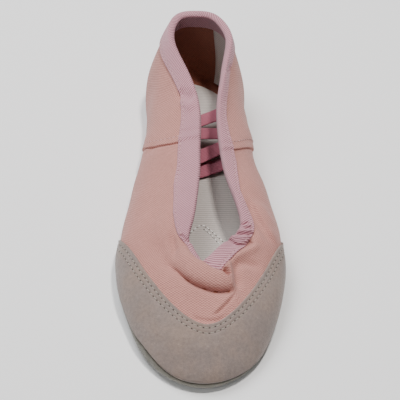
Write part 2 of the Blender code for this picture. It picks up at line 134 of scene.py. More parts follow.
def curve_through(points: np.ndarray, count: int) -> np.ndarray:
    """Smooth curve through the points: cubic Hermite pieces, each slope taken from its neighbours.

    Args:
        points: The points in order, one row each.
        count: How many points to return, evenly spaced by the chords.

    Returns:
        The curve's points, one row each.
    """
    points = np.asarray(points, float)
    steps = np.linalg.norm(np.diff(points, axis=0), axis=1)
    place = np.concatenate([[0.0], np.cumsum(steps)])
    slope = np.gradient(points, place, axis=0)
    at = np.linspace(0.0, place[-1], count)
    k = np.clip(np.searchsorted(place, at, side="right") - 1, 0, len(points) - 2)
    width = (place[k + 1] - place[k])[:, None]
    f = (at - place[k])[:, None] / width
    start = (2 * f**3 - 3 * f**2 + 1) * points[k] + (f**3 - 2 * f**2 + f) * width * slope[k]
    end = (3 * f**2 - 2 * f**3) * points[k + 1] + (f**3 - f**2) * width * slope[k + 1]
    return start + end


def run_length(points: np.ndarray) -> np.ndarray:
    """Length run so far at each point of a path."""
    return np.concatenate([[0.0], np.cumsum(np.linalg.norm(np.diff(points, axis=0), axis=1))])


@dataclass
class Last:
    """Form that the slipper is drawn on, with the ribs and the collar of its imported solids."""

    length: float = 235.0
    middle_x: float = 0.4
    bottom_z: float = 2.1
    seam_rib: int = 5
    rib_steps: int = 48
    knots: np.ndarray = field(init=False)
    rows: np.ndarray = field(init=False)
    bends: np.ndarray = field(init=False)
    seam_u: float = field(init=False)

    def __post_init__(self) -> None:
        """Lays the ribs round a ring and solves the closed cubic spline through them for its bends."""
        left = [(-r.foot_x, *r[1:5], -r.high_x, *r[6:]) for r in RIBS]
        right = [tuple(r) for r in RIBS[-2:0:-1]]
        edges = [e[:3] for e in COLLAR] + [e[3:] for e in COLLAR[-2:0:-1]]
        self.rows = np.hstack([np.array(left + right), np.array(edges)])
        ahead = np.roll(self.rows, -1, axis=0) - self.rows
        steps = np.linalg.norm(ahead[:, :2], axis=1)
        self.knots = np.concatenate([[0.0], np.cumsum(steps)]) / steps.sum()
        after = np.diff(self.knots)
        before = np.roll(after, 1)
        system = np.diag(2.0 * (before + after)) + np.diag(before[1:], -1) + np.diag(after[:-1], 1)
        system[0, -1] += before[0]
        system[-1, 0] += after[-1]
        rise = ahead / after[:, None]
        self.bends = np.linalg.solve(system, 6.0 * (rise - np.roll(rise, 1, axis=0)))
        self.seam_u = float(self.knots[self.seam_rib])
        self.left_u = np.linspace(0.0, 0.5, 400)
        self.left_t = self.skin(self.left_u, 1.0)[:, 1]

    def rows_at(self, u: np.ndarray) -> np.ndarray:
        """Rib and collar values at u, on the closed cubic spline through the tables."""
        at = np.mod(np.ravel(u), 1.0)
        k = np.clip(np.searchsorted(self.knots, at, side="right") - 1, 0, len(self.rows) - 1)
        after = (k + 1) % len(self.rows)
        width = (self.knots[k + 1] - self.knots[k])[:, None]
        a = (self.knots[k + 1] - at)[:, None] / width
        b = 1.0 - a
        bend = (a**3 - a) * self.bends[k] + (b**3 - b) * self.bends[after]
        rows = a * self.rows[k] + b * self.rows[after] + bend * width**2 / 6.0
        return rows.reshape(*np.shape(u), -1)

    def ribs_at(self, u: np.ndarray) -> tuple[np.ndarray, ...]:
        """Foot, low handle, high handle and collar point of the ribs at u."""
        step = 1e-4
        rows = self.rows_at(u)
        along = self.rows_at(u + step)[..., :2] - self.rows_at(u - step)[..., :2]
        along /= np.linalg.norm(along, axis=-1, keepdims=True)
        out = np.stack([along[..., 1], -along[..., 0], np.zeros(np.shape(u))], axis=-1)
        foot = rows[..., 0:3]
        foot[..., 2] = np.maximum(foot[..., 2], self.bottom_z)
        low = foot + out * rows[..., 3:4] + np.array([0.0, 0.0, 1.0]) * rows[..., 4:5]
        return foot, low, rows[..., 5:8], rows[..., 8:11]

    def skin(self, u: np.ndarray, q: np.ndarray | float) -> np.ndarray:
        """Outer face of the bare canvas.

        From q of 0 to 1 it crosses the bottom, from its middle to the foot line, and from 1 to 2
        it climbs the rib as a cubic Bezier curve.

        Args:
            u: Ring places.
            q: Heights, of a shape that goes with u's.

        Returns:
            Points, with x, t and z last.
        """
        foot, low, high, edge = self.ribs_at(np.asarray(u))
        q = np.asarray(q)[..., None]
        v = np.clip(q - 1.0, 0.0, 1.0)
        w = 1.0 - v
        points = w**3 * foot + 3 * w**2 * v * low + 3 * w * v**2 * high + v**3 * edge
        points[..., :1] *= np.clip(q, 0.0, 1.0)
        return points

    def outward(self, u: np.ndarray, q: np.ndarray) -> np.ndarray:
        """Unit normals of the skin: the cross product of its two directions."""
        du, dq = 1e-4, 1e-3
        q = np.where(np.abs(np.sin(2.0 * np.pi * u)) < 1e-9, np.maximum(q, 1.0), q)
        along = self.skin(u + du, q) - self.skin(u - du, q)
        rise = self.skin(u, np.minimum(q + dq, 2.0)) - self.skin(u, np.maximum(q - dq, 0.0))
        normal = np.cross(along, rise)
        return normal / np.maximum(np.linalg.norm(normal, axis=-1, keepdims=True), 1e-12)

    def lengths(self, u: np.ndarray) -> np.ndarray:
        """Lengths from the foot line to even steps of q up each rib, the steps last."""
        line = self.skin(u[..., None], np.linspace(1.0, 2.0, self.rib_steps + 1))
        steps = np.linalg.norm(np.diff(line, axis=-2), axis=-1)
        return np.concatenate([np.zeros((*u.shape, 1)), np.cumsum(steps, axis=-1)], axis=-1)

    def pick(self, table: np.ndarray, k: np.ndarray) -> np.ndarray:
        """Entry k of each row of a table of lengths."""
        table = np.broadcast_to(table, (*k.shape, table.shape[-1]))
        return np.take_along_axis(table, k[..., None], axis=-1)[..., 0]

    def climb(self, u: np.ndarray, s: np.ndarray) -> np.ndarray:
        """The q of points s millimetres up the ribs from the foot line."""
        table = self.lengths(u)
        s = np.clip(s, 0.0, table[..., -1])
        k = np.clip((table <= s[..., None]).sum(axis=-1) - 1, 0, self.rib_steps - 1)
        low, high = self.pick(table, k), self.pick(table, k + 1)
        return 1.0 + (k + (s - low) / (high - low)) / self.rib_steps

    def drop(self, u: np.ndarray, s: np.ndarray) -> np.ndarray:
        """The q of points s millimetres down the ribs from the collar."""
        return self.climb(u, self.lengths(u)[..., -1] - s)

    def height_up(self, u: np.ndarray, q: np.ndarray) -> np.ndarray:
        """How far up the rib the points at q are, the reverse of climb."""
        table = self.lengths(u)
        place = np.clip(q - 1.0, 0.0, 1.0) * self.rib_steps
        k = np.clip(place.astype(int), 0, self.rib_steps - 1)
        low, high = self.pick(table, k), self.pick(table, k + 1)
        return low + (place - k) * (high - low)

    def u_at(self, t: np.ndarray) -> np.ndarray:
        """Ring place on the left side whose foot line is t from the toe."""
        return np.interp(t, self.left_t[::-1], self.left_u[::-1])

    def foot_t(self, u: np.ndarray) -> np.ndarray:
        """Distance from the toe of the foot line at u."""
        return np.interp(np.where(u > 0.5, 1.0 - u, u), self.left_u, self.left_t)

    def half_width(self, t: np.ndarray) -> np.ndarray:
        """Half width of the bottom at t."""
        return np.abs(self.ribs_at(self.u_at(t))[0][..., 0])

    def ring(self, count: int, seam_cuts: float = 0.0) -> np.ndarray:
        """Ring places from 0 to 1, the same on both sides, closer on the vamp and at the seams.

        Args:
            count: How many cells go round the ring, an even number.
            seam_cuts: How much closer they are at the side seams.

        Returns:
            A column of count and one places, the last at 1.
        """
        fine = np.linspace(0.0, 0.5, 20001)
        density = 1.0 + 1.2 * ease((fine - 0.30) / 0.12)
        density += seam_cuts * bell((fine - self.seam_u) / 0.0028)
        run = np.concatenate([[0.0], np.cumsum((density[1:] + density[:-1]) / 2.0)])
        half = np.interp(np.linspace(0.0, run[-1], count // 2 + 1), run, fine)
        return np.concatenate([half, 1.0 - half[-2::-1]])[:, None]


class TapeEdge(NamedTuple):
    """How wide the binding's outer leaf shows at a ring place."""

    u: float
    width: float


TAPE_EDGES = (
    TapeEdge(0.0, 9.4),
    TapeEdge(0.08, 9.0),
    TapeEdge(0.123, 8.5),
    TapeEdge(0.145, 9.6),
    TapeEdge(0.17, 11.2),
    TapeEdge(0.232, 11.8),
    TapeEdge(0.262, 12.2),
    TapeEdge(0.304, 10.3),
    TapeEdge(0.33, 7.2),
    TapeEdge(0.355, 4.2),
    TapeEdge(0.379, 1.1),
    TapeEdge(0.395, 0.1),
    TapeEdge(0.498, 0.1),
    TapeEdge(0.51, 1.8),
    TapeEdge(0.522, 5.4),
    TapeEdge(0.536, 9.6),
    TapeEdge(0.55, 8.6),
    TapeEdge(0.578, 8.2),
    TapeEdge(0.607, 8.2),
    TapeEdge(0.624, 7.6),
    TapeEdge(0.652, 6.6),
    TapeEdge(0.678, 5.8),
    TapeEdge(0.696, 5.2),
    TapeEdge(0.712, 3.9),
    TapeEdge(0.726, 3.4),
    TapeEdge(0.751, 5.2),
    TapeEdge(0.787, 7.0),
    TapeEdge(0.814, 6.8),
    TapeEdge(0.833, 5.4),
    TapeEdge(0.851, 4.6),
    TapeEdge(0.871, 5.2),
    TapeEdge(0.896, 6.0),
    TapeEdge(0.93, 8.0),
    TapeEdge(1.0, 9.4),
)


class SeamPlace(NamedTuple):
    """Where a side seam crosses the ribs at a share of their height, on the left and on the right."""

    share: float
    left_u: float
    right_u: float


SEAM_PLACES = (
    SeamPlace(0.10, 0.1640, 0.8360),
    SeamPlace(0.29, 0.1662, 0.8345),
    SeamPlace(0.44, 0.1708, 0.8315),
    SeamPlace(0.60, 0.1733, 0.8256),
    SeamPlace(0.70, 0.1733, 0.8208),
    SeamPlace(0.79, 0.1718, 0.8166),
    SeamPlace(1.00, 0.1690, 0.8110),
)


class Across(Enum):
    """Shape of a crease across its path."""

    SOFT = "bell"
    KEEN = "sharp V"
    STEP = "step up on the left of its way"


@dataclass(frozen=True)
class Crease:
    """A crease laid along a listed path.

    It has a path in x and t, a lift in the middle of it, below zero for a trough, and a width.
    Both ends fade out.
    """

    path: tuple[tuple[float, float], ...]
    lift: float
    width: float
    fade: float = 6.0
    across: Across = Across.SOFT


CREASES = (
    Crease(((-15.6, 81.0), (-14.7, 73.4), (-13.8, 68.5), (-13.2, 62.5), (-11.2, 59.3)), -1.4, 1.6, 8.0),
    Crease(((-11.9, 79.0), (-11.4, 72.0), (-10.4, 65.5)), 0.7, 1.9, 5.0),
    Crease(((10.4, 55.6), (12.0, 52.9), (13.1, 50.4)), -4.6, 1.3, 1.4),
    Crease(((13.0, 61.5), (13.9, 54.0), (14.5, 48.5), (15.2, 43.5)), 2.2, 1.5, 4.0),
    Crease(((17.0, 63.5), (17.5, 56.0), (17.9, 50.0), (17.6, 44.5)), -1.3, 1.8, 4.0),
    Crease(((30.0, 73.0), (25.7, 68.5), (20.5, 65.5), (16.8, 61.5), (14.6, 57.0)), 1.7, 2.2, 5.0),
    Crease(((32.0, 59.5), (26.5, 60.0), (21.0, 59.8), (17.3, 56.0)), -1.5, 2.4, 6.0),
    Crease(((20.5, 63.0), (20.8, 57.0), (20.0, 50.0)), 0.5, 2.4, 5.0),
    Crease(((4.4, 29.4), (8.9, 33.5), (12.5, 37.5), (14.9, 40.6), (17.6, 45.0)), 0.7, 4.5, 5.0, Across.STEP),
    Crease(((4.4, 29.4), (8.9, 33.5), (12.5, 37.5), (14.9, 40.6), (17.6, 45.0)), -0.9, 0.65, 5.0),
    Crease(((-6.5, 30.0), (-1.0, 27.6), (3.0, 27.2), (7.0, 27.8), (12.0, 30.8)), -0.9, 0.9, 4.0),
    Crease(((25.8, 102.0), (29.5, 90.8), (32.4, 84.4), (35.4, 78.4), (39.3, 74.1)), 1.5, 5.0, 8.0, Across.STEP),
    Crease(((24.5, 101.0), (27.8, 90.0), (30.8, 83.6), (34.0, 77.4), (38.0, 73.0)), -1.2, 2.4, 8.0),
    Crease(((30.5, 104.0), (34.5, 93.5), (40.0, 85.0)), 1.3, 3.6, 9.0),
    Crease(((28.5, 84.0), (30.0, 76.0), (29.0, 68.0)), 0.7, 4.0, 8.0),
    Crease(((-21.5, 98.0), (-25.8, 84.0), (-26.6, 72.0), (-23.0, 60.0)), -0.6, 3.2, 9.0),
    Crease(((-28.0, 147.0), (-23.0, 141.5)), -0.7, 2.6, 4.0),
    Crease(((20.4, 81.6), (22.0, 82.3), (25.0, 83.9)), -1.5, 0.8, 1.2),
    Crease(((20.0, 79.6), (23.0, 81.5), (27.0, 82.4)), 0.8, 1.0, 2.0),
    Crease(((21.8, 79.4), (23.1, 80.0), (26.6, 80.8)), -1.1, 0.9, 1.2),
    Crease(((17.0, 77.9), (21.0, 78.2), (26.5, 79.0)), 0.9, 1.1, 1.5),
    Crease(((16.6, 75.7), (18.0, 76.0), (20.8, 76.4), (24.6, 76.7), (27.4, 77.6)), -1.4, 0.8, 1.5),
    Crease(((15.0, 74.6), (18.0, 73.8), (22.0, 74.3), (25.5, 75.6)), 1.1, 1.1, 1.5),
    Crease(((24.6, 74.5), (22.7, 72.6), (20.2, 71.2), (17.6, 71.5), (15.3, 73.6), (14.0, 75.2)),
           -2.0, 3.0, 1.2, Across.STEP),
    Crease(((-11.5, 76.2), (-8.8, 73.8), (-7.0, 71.0)), -1.2, 1.0, 1.5),
    Crease(((-10.5, 176.5), (-5.9, 171.0), (-1.2, 167.5)), -1.9, 3.0, 3.0),
    Crease(((-9.5, 169.5), (-5.0, 163.5), (-1.5, 160.0)), 1.2, 2.2, 3.0),
    Crease(((19.0, 196.0), (16.0, 191.0), (12.8, 184.5)), -1.3, 1.3, 3.0, Across.KEEN),
    Crease(((33.5, 190.0), (34.5, 168.0), (36.5, 145.0)), 1.5, 9.0, 16.0),
)


class Wave(NamedTuple):
    """One slow wave of the slack cloth: its turns a millimetre along x, t and z, its start and height."""

    x: float
    t: float
    z: float
    start: float
    height: float


WAVES = (
    Wave(0.021, 0.0135, 0.0, 0.4, 0.20),
    Wave(-0.013, 0.024, 0.02, 2.1, 0.20),
    Wave(0.034, -0.019, 0.03, 4.0, 0.12),
    Wave(0.017, 0.041, -0.035, 1.2, 0.10),
)


@dataclass
class Cloth:
    """The upper's cloth as it falls: the last's skin with its rolled throat, creases and waves."""

    last: Last
    canvas: float = 1.4
    ring_mm: float = 530.0
    seam_step: float = 0.85
    seam_reach: float = 0.06
    roll_line: tuple = (
        (-24.3, 80.0), (-21.2, 67.9), (-19.4, 62.9), (-15.6, 58.0), (-11.6, 54.2), (-7.4, 49.9),
        (-3.5, 47.1), (0.6, 45.4), (4.7, 44.1), (8.9, 43.7), (13.0, 44.2), (16.2, 44.4),
    )
    roll_height: float = 4.6
    roll_edge: float = 4.5
    roll_soft: float = 9.0
    roll_lip: float = 8.0
    roll_lean: float = 1.2
    roll_tuck: float = 1.8
    turn_middle: float = 0.895
    turn_reach: float = 0.055
    turn_hinge: float = 11.0
    turn_degrees: float = 20.0
    path_cuts: int = 48

    def beside(self, path: np.ndarray, x: np.ndarray, t: np.ndarray) -> tuple[np.ndarray, ...]:
        """Where places lie beside a path.

        Args:
            path: Points in x and t along the crease.
            x: Places across the shoe.
            t: Places along the shoe.

        Returns:
            Length run along the path to the nearest point, the distance aside, above zero on the
            left of the way, the path's own direction there, and the path's whole length.
        """
        line = curve_through(np.array(path), self.path_cuts)
        run = run_length(line)
        place = np.stack([x.ravel(), t.ravel()], axis=1)
        step = np.diff(line, axis=0)
        size = np.linalg.norm(step, axis=1)
        way = step / size[:, None]
        from_start = place[:, None, :] - line[None, :-1, :]
        along = np.clip((from_start * way).sum(axis=2), 0.0, size)
        gap = np.linalg.norm(from_start - along[..., None] * way, axis=2)
        k = gap.argmin(axis=1)
        rows = np.arange(len(place))
        off = from_start[rows, k]
        side = np.sign(way[k, 0] * off[:, 1] - way[k, 1] * off[:, 0])
        shape = x.shape
        run_at = (run[k] + along[rows, k]).reshape(shape)
        return run_at, (side * gap[rows, k]).reshape(shape), way[k].reshape(*shape, 2), run[-1]

    def tape_width(self, u: np.ndarray) -> np.ndarray:
        """Width of the binding's outer leaf at u."""
        table = np.array(TAPE_EDGES)
        return np.interp(np.mod(u, 1.0), table[:, 0], table[:, 1])

    def creased(self, base: np.ndarray) -> np.ndarray:
        """Lift of the listed creases: for each, a bell across its path that fades at both ends."""
        lift = np.zeros(base.shape[:-1])
        x, t = base[..., 0], base[..., 1]
        for crease in CREASES:
            path = np.array(crease.path)
            reach = 3.0 * crease.width
            near = (x > path[:, 0].min() - reach) & (x < path[:, 0].max() + reach)
            near &= (t > path[:, 1].min() - reach) & (t < path[:, 1].max() + reach)
            if not near.any():
                continue
            run, aside, _, whole = self.beside(path, x[near], t[near])
            away = np.abs(aside) / crease.width
            shape = bell(away)
            if crease.across is Across.KEEN:
                shape = np.exp(1.0 - np.sqrt(1.0 + 6.0 * away**2))
            elif crease.across is Across.STEP:
                shape = shape * ease(aside / 1.1)
            lift[near] += crease.lift * shape * ease(run / crease.fade) * ease((whole - run) / crease.fade)
        return lift

    def rolled(self, u: np.ndarray, q: np.ndarray, base: np.ndarray) -> tuple[np.ndarray, ...]:
        """The throat's roll: lift and slide of the cloth between the tape and the fold line.

        The lift rises as a quarter wave from the fold line and another from the tape's edge. On its
        first stretch it is broad and soft. Further on it is a full lip that slides out over the
        line, where the cloth below sinks into a trough.

        Args:
            u: Ring places.
            q: Heights.
            base: Points of the bare skin there.

        Returns:
            The lift, and the slide in x and t.
        """
        run, aside, way, whole = self.beside(np.array(self.roll_line), base[..., 0], base[..., 1])
        down = self.last.lengths(u)[..., -1] - self.last.height_up(u, q)
        past_tape = down - self.tape_width(u)
        full = ease((run - 9.0) / 24.0) * ease((whole - run) / 4.5)
        keen = ease((run - 15.0) / 22.0)
        soft = ease(aside / self.roll_soft)
        lip = np.sin(np.clip(aside / self.roll_lip, 0.0, 1.0) * np.pi / 2.0) ** 0.75
        ramp = (soft + (lip - soft) * keen) * round_up(past_tape / self.roll_edge)
        lift = self.roll_height * full * ramp
        trough = ease(run / 11.0) * ease((whole - run) / 3.0)
        wide = 3.2 - 1.2 * keen
        lift -= self.roll_tuck * (0.85 + 0.15 * keen) * trough * bell((aside + 0.4) / wide)
        over = np.clip(aside, 0.0, None) / 1.8
        slide = self.roll_lean * full * keen * over * np.exp(1.0 - over)
        left = np.stack([-way[..., 1], way[..., 0]], axis=-1)
        return lift, -left * slide[..., None]

    def turned_out(self, u: np.ndarray, q: np.ndarray, base: np.ndarray) -> np.ndarray:
        """Moves of the right side's collar, which stands up and out before the heel.

        The cloth above a hinge line turns about it. The angle grows with the distance above the
        hinge, up to its full size at the collar.
        """
        down = self.last.lengths(u)[..., -1] - self.last.height_up(u, q)
        angle = np.radians(self.turn_degrees) * bell((u - self.turn_middle) / self.turn_reach * 1.4)
        angle = angle * ease((self.turn_hinge - down) / self.turn_hinge)
        hinge = self.last.skin(u, self.last.drop(u, np.full(u.shape, self.turn_hinge)))
        arm = base - hinge
        cos, sin = np.cos(angle), np.sin(angle)
        x = arm[..., 0] * cos + arm[..., 2] * sin
        z = arm[..., 2] * cos - arm[..., 0] * sin
        move = np.stack([x - arm[..., 0], np.zeros(x.shape), z - arm[..., 2]], axis=-1)
        return move * ((down < self.turn_hinge) & (u > 0.5) & (q > 1.0))[..., None]

    def seam_u(self, u: np.ndarray, share: np.ndarray) -> np.ndarray:
        """Ring place of the side seam on u's side of the shoe, at a share of the rib's height."""
        table = np.array(SEAM_PLACES)
        left = np.interp(share, table[:, 0], table[:, 1])
        right = np.interp(share, table[:, 0], table[:, 2])
        return np.where(u > 0.5, right, left)

    def seam_behind(self, u: np.ndarray, share: np.ndarray) -> np.ndarray:
        """How far behind the side seam a place lies, in millimetres."""
        behind = self.seam_u(u, share) - u
        return np.where(u > 0.5, -behind, behind) * self.ring_mm

    def along_seams(self, u: np.ndarray, share: np.ndarray) -> np.ndarray:
        """Ring places moved so that the rib through each straight seam follows the sewn one."""
        straight = np.where(u > 0.5, 1.0 - self.last.seam_u, self.last.seam_u)
        shift = self.seam_u(u, share) - straight
        return u + shift * (1.0 - ease(np.abs(u - straight) / self.seam_reach))

    def seam_raise(self, behind: np.ndarray) -> np.ndarray:
        """The quarter's folded edge stands proud of the vamp, with a nick where it meets it."""
        step = self.seam_step * round_up(behind / 0.6) - 0.45 * bell((behind + 0.3) / 0.4)
        pressed = 0.30 * bell((behind - 4.6) / 1.0) + 0.35 * ease((behind - 5.0) / 9.0)
        return step - pressed * (behind > 0.0)

    def fall(self, u: np.ndarray, q: np.ndarray) -> tuple[np.ndarray, np.ndarray, np.ndarray]:
        """Bare skin, its normals, and how far the fallen cloth lies from it.

        Args:
            u: Ring places.
            q: Heights.

        Returns:
            Points, unit normals, and the move of each point, all with x, t and z last.
        """
        base = self.last.skin(u, q)
        normal = self.last.outward(u, q)
        top = ease((q - 1.18) / 0.14)
        roll, slide = self.rolled(u, q, base)
        turn = 2.0 * np.pi * (base @ np.array(WAVES)[:, :3].T) + np.array(WAVES)[:, 3]
        waves = (np.sin(turn) * np.array(WAVES)[:, 4]).sum(axis=-1) * ease((q - 1.1) / 0.3)
        move = normal * (top * (self.creased(base) + roll) + waves)[..., None]
        move[..., :2] += slide * top[..., None]
        return base, normal, move + self.turned_out(u, q, base)

    def layer(self, u: np.ndarray, q: np.ndarray, off: np.ndarray | float,
              above: np.ndarray | float = 0.0) -> np.ndarray:
        """Points of the fallen cloth, off millimetres outside it and above its edge.

        Args:
            u: Ring places, a column or the shape of q.
            q: Heights.
            off: How far outside, below zero for inside.
            above: How far past the collar's edge, straight on up the rib.

        Returns:
            Points of the shape of q, with x, t and z last.
        """
        base, normal, move = self.fall(u, q)
        points = base + move + normal * np.broadcast_to(off, q.shape)[..., None]
        top = self.last.skin(u, 2.0) - self.last.skin(u, 1.98)
        top /= np.linalg.norm(top, axis=-1, keepdims=True)
        return points + top * np.broadcast_to(above, q.shape)[..., None]

    def grain(self, u: np.ndarray, q: np.ndarray, points: np.ndarray) -> np.ndarray:
        """Where each point lies on the flat cloth, in millimetres along its two threads.

        The vamp is laid out flat, each rib straight out from the collar as seen from above. The
        quarter is laid out along the ring.

        Args:
            u: Ring places.
            q: Heights, up to the collar in the last column.
            points: The fallen cloth there, whose own lengths down the ribs are used.

        Returns:
            The two lengths of each point.
        """
        edge = self.last.skin(u, 2.0)[..., :2]
        foot = self.last.skin(u, 1.0)[..., :2]
        way = (foot - edge) / np.linalg.norm(foot - edge, axis=-1, keepdims=True)
        steps = np.linalg.norm(np.diff(points, axis=1), axis=-1)
        climbed = np.hstack([np.zeros((len(points), 1)), np.cumsum(steps, axis=1)])
        down = climbed[:, -1:] - climbed
        vamp = edge + way * down[..., None]
        round_ring = np.broadcast_to((u - (u > 0.5)) * self.ring_mm, q.shape)
        behind = self.seam_behind(u, self.last.height_up(u, q) / self.last.lengths(u)[..., -1])
        return np.where((behind > -0.3)[..., None], np.stack([round_ring, down], axis=-1), vamp)


@dataclass
class Pattern:
    """Points, faces and pattern places of one piece while it is being made."""

    points: list[np.ndarray] = field(default_factory=list)
    places: list[np.ndarray] = field(default_factory=list)
    quads: list[np.ndarray] = field(default_factory=list)
    slots: list[np.ndarray] = field(default_factory=list)
    count: int = 0

    def add(self, points: np.ndarray, places: np.ndarray | None = None, flip: bool = False,
            slot: int = 0) -> np.ndarray:
        """Adds a grid of points and its faces.

        Args:
            points: Grid of points, in rows and columns, with x, t and z last.
            places: Pattern places of the same grid, or None for rows and columns of zeros.
            flip: Turns the faces over.
            slot: Which of the piece's finishes the faces take.

        Returns:
            The index of each point, in the same rows and columns.
        """
        rows, cols = points.shape[:2]
        index = self.count + np.arange(rows * cols).reshape(rows, cols)
        quads = np.stack([index[:-1, :-1], index[1:, :-1], index[1:, 1:], index[:-1, 1:]], axis=-1)
        self.points.append(points.reshape(-1, 3))
        places = np.zeros((rows, cols, 2)) if places is None else places
        self.places.append(places.reshape(-1, 2))
        self.quads.append(quads.reshape(-1, 4)[:, ::-1 if flip else 1])
        self.slots.append(np.full(len(self.quads[-1]), slot))
        self.count += rows * cols
        return index

    def join(self, first: np.ndarray, second: np.ndarray) -> None:
        """Faces between two like rows of points already added."""
        self.quads.append(np.stack([first[:-1], first[1:], second[1:], second[:-1]], axis=-1))
        self.slots.append(np.zeros(len(self.quads[-1]), int))

    def shell(self, face: np.ndarray, back: np.ndarray, places: np.ndarray | None = None,
              folded: bool = False) -> None:
        """Adds two like grids, one behind the other, and closes the edges between them.

        Args:
            face: Grid of points of the outer face.
            back: Grid of points of the inner face.
            places: Pattern places of both, or None.
            folded: Says that the last row is folded in half, so that it closes by itself.
        """
        front = self.add(face, places)
        rear = self.add(back, places, flip=True)
        self.join(front[:, -1], rear[:, -1])
        self.join(rear[:, 0], front[:, 0])
        self.join(front[0], rear[0])
        if not folded:
            self.join(rear[-1], front[-1])

    def make(self, name: str, *finishes: bpy.types.Material, flip: bool | None = None) -> bpy.types.Object:
        """The finished mesh object, welded, with its faces outward.

        Args:
            name: The piece's name.
            finishes: Its materials, by slot.
            flip: Turns all faces, or None to go by the sign of the volume.

        Returns:
            The object, at the origin, its places as the UV map.
        """
        points = np.vstack(self.points)
        quads = np.vstack(self.quads)
        _, first, index = np.unique(np.round(points, 4), axis=0, return_index=True, return_inverse=True)
        corners = index.reshape(-1)[quads]
        same = corners == np.roll(corners, 1, axis=1)
        whole = ~same.any(axis=1) & (corners[:, 0] != corners[:, 2]) & (corners[:, 1] != corners[:, 3])
        half = same.sum(axis=1) == 1
        four, four_places = corners[whole], quads[whole]
        three = corners[half][~same[half]].reshape(-1, 3)
        three_places = quads[half][~same[half]].reshape(-1, 3)
        kept = points[first]
        fans = np.vstack([four[:, :3], four[:, [0, 2, 3]], three])
        if flip is None:
            flip = np.linalg.det(kept[fans]).sum() < 0.0
        if flip:
            four, four_places = four[:, ::-1], four_places[:, ::-1]
            three, three_places = three[:, ::-1], three_places[:, ::-1]
        obj = add_mesh(name, kept, four, three, np.vstack(self.places),
                       np.concatenate([four_places.ravel(), three_places.ravel()]))
        slots = np.concatenate(self.slots)
        slots = np.concatenate([slots[whole], slots[half]]).astype(np.int32)
        for finish in finishes:
            obj.data.materials.append(finish)
        obj.data.polygons.foreach_set("material_index", slots)
        return obj


def add_mesh(name: str, points: np.ndarray, four: np.ndarray, three: np.ndarray, places: np.ndarray,
             picks: np.ndarray) -> bpy.types.Object:
    """Puts arrays into a new mesh object.

    Args:
        name: The object's name.
        points: Points in shoe millimetres.
        four: Corners of its four-sided faces.
        three: Corners of its three-sided faces.
        places: Pattern places to pick from.
        picks: Which place each corner has, the four-sided faces' corners first.

    Returns:
        The object.
    """
    mesh = bpy.data.meshes.new(name)
    mesh.vertices.add(len(points))
    metres = (points - np.array([LAST.middle_x, LAST.length / 2.0, 0.0])) * MM
    mesh.vertices.foreach_set("co", metres.astype(np.float32).ravel())
    corners = np.concatenate([four.ravel(), three.ravel()])
    mesh.loops.add(len(corners))
    mesh.loops.foreach_set("vertex_index", corners.astype(np.int32))
    starts = np.concatenate([4 * np.arange(len(four)), 4 * len(four) + 3 * np.arange(len(three))])
    mesh.polygons.add(len(starts))
    mesh.polygons.foreach_set("loop_start", starts.astype(np.int32))
    mesh.update(calc_edges=True)
    uv = mesh.uv_layers.new(name="flat")
    uv.data.foreach_set("uv", places[picks].astype(np.float32).ravel())
    mesh.shade_smooth()
    obj = bpy.data.objects.new(name, mesh)
    bpy.context.scene.collection.objects.link(obj)
    return obj


LAST = Last()
CLOTH = Cloth(LAST)


class Wire:
    """A value, colour or vector out of a node, for use in Python sums."""

    def __init__(self, bench: "Bench", socket: bpy.types.NodeSocket) -> None:
        """Holds the socket and the bench that adds its nodes."""
        self.bench = bench
        self.socket = socket

    def _sum(self, operation: str, *values: "Wire | float") -> "Wire":
        """One Math node on the values."""
        return self.bench.node("ShaderNodeMath", {"operation": operation}, dict(enumerate(values)))

    def __add__(self, other: "Wire | float") -> "Wire":
        """Adds."""
        return self._sum("ADD", self, other)

    def __sub__(self, other: "Wire | float") -> "Wire":
        """Takes other away."""
        return self._sum("SUBTRACT", self, other)

    def __rsub__(self, other: float) -> "Wire":
        """Takes this away from other."""
        return self._sum("SUBTRACT", other, self)

    def __mul__(self, other: "Wire | float") -> "Wire":
        """Multiplies."""
        return self._sum("MULTIPLY", self, other)

    def __truediv__(self, other: "Wire | float") -> "Wire":
        """Divides by other."""
        return self._sum("DIVIDE", self, other)

    def __pow__(self, other: "Wire | float") -> "Wire":
        """Raises to the power of other."""
        return self._sum("POWER", self, other)

    __radd__ = __add__
    __rmul__ = __mul__

    def sine(self) -> "Wire":
        """Sine."""
        return self._sum("SINE", self)

    def size(self) -> "Wire":
        """Size without its sign."""
        return self._sum("ABSOLUTE", self)

    def above(self, low: float, high: float) -> "Wire":
        """Smooth step from 0 at low to 1 at high."""
        return self.bench.node("ShaderNodeMapRange", {"interpolation_type": "SMOOTHSTEP"},
                               {"Value": self, "From Min": low, "From Max": high})


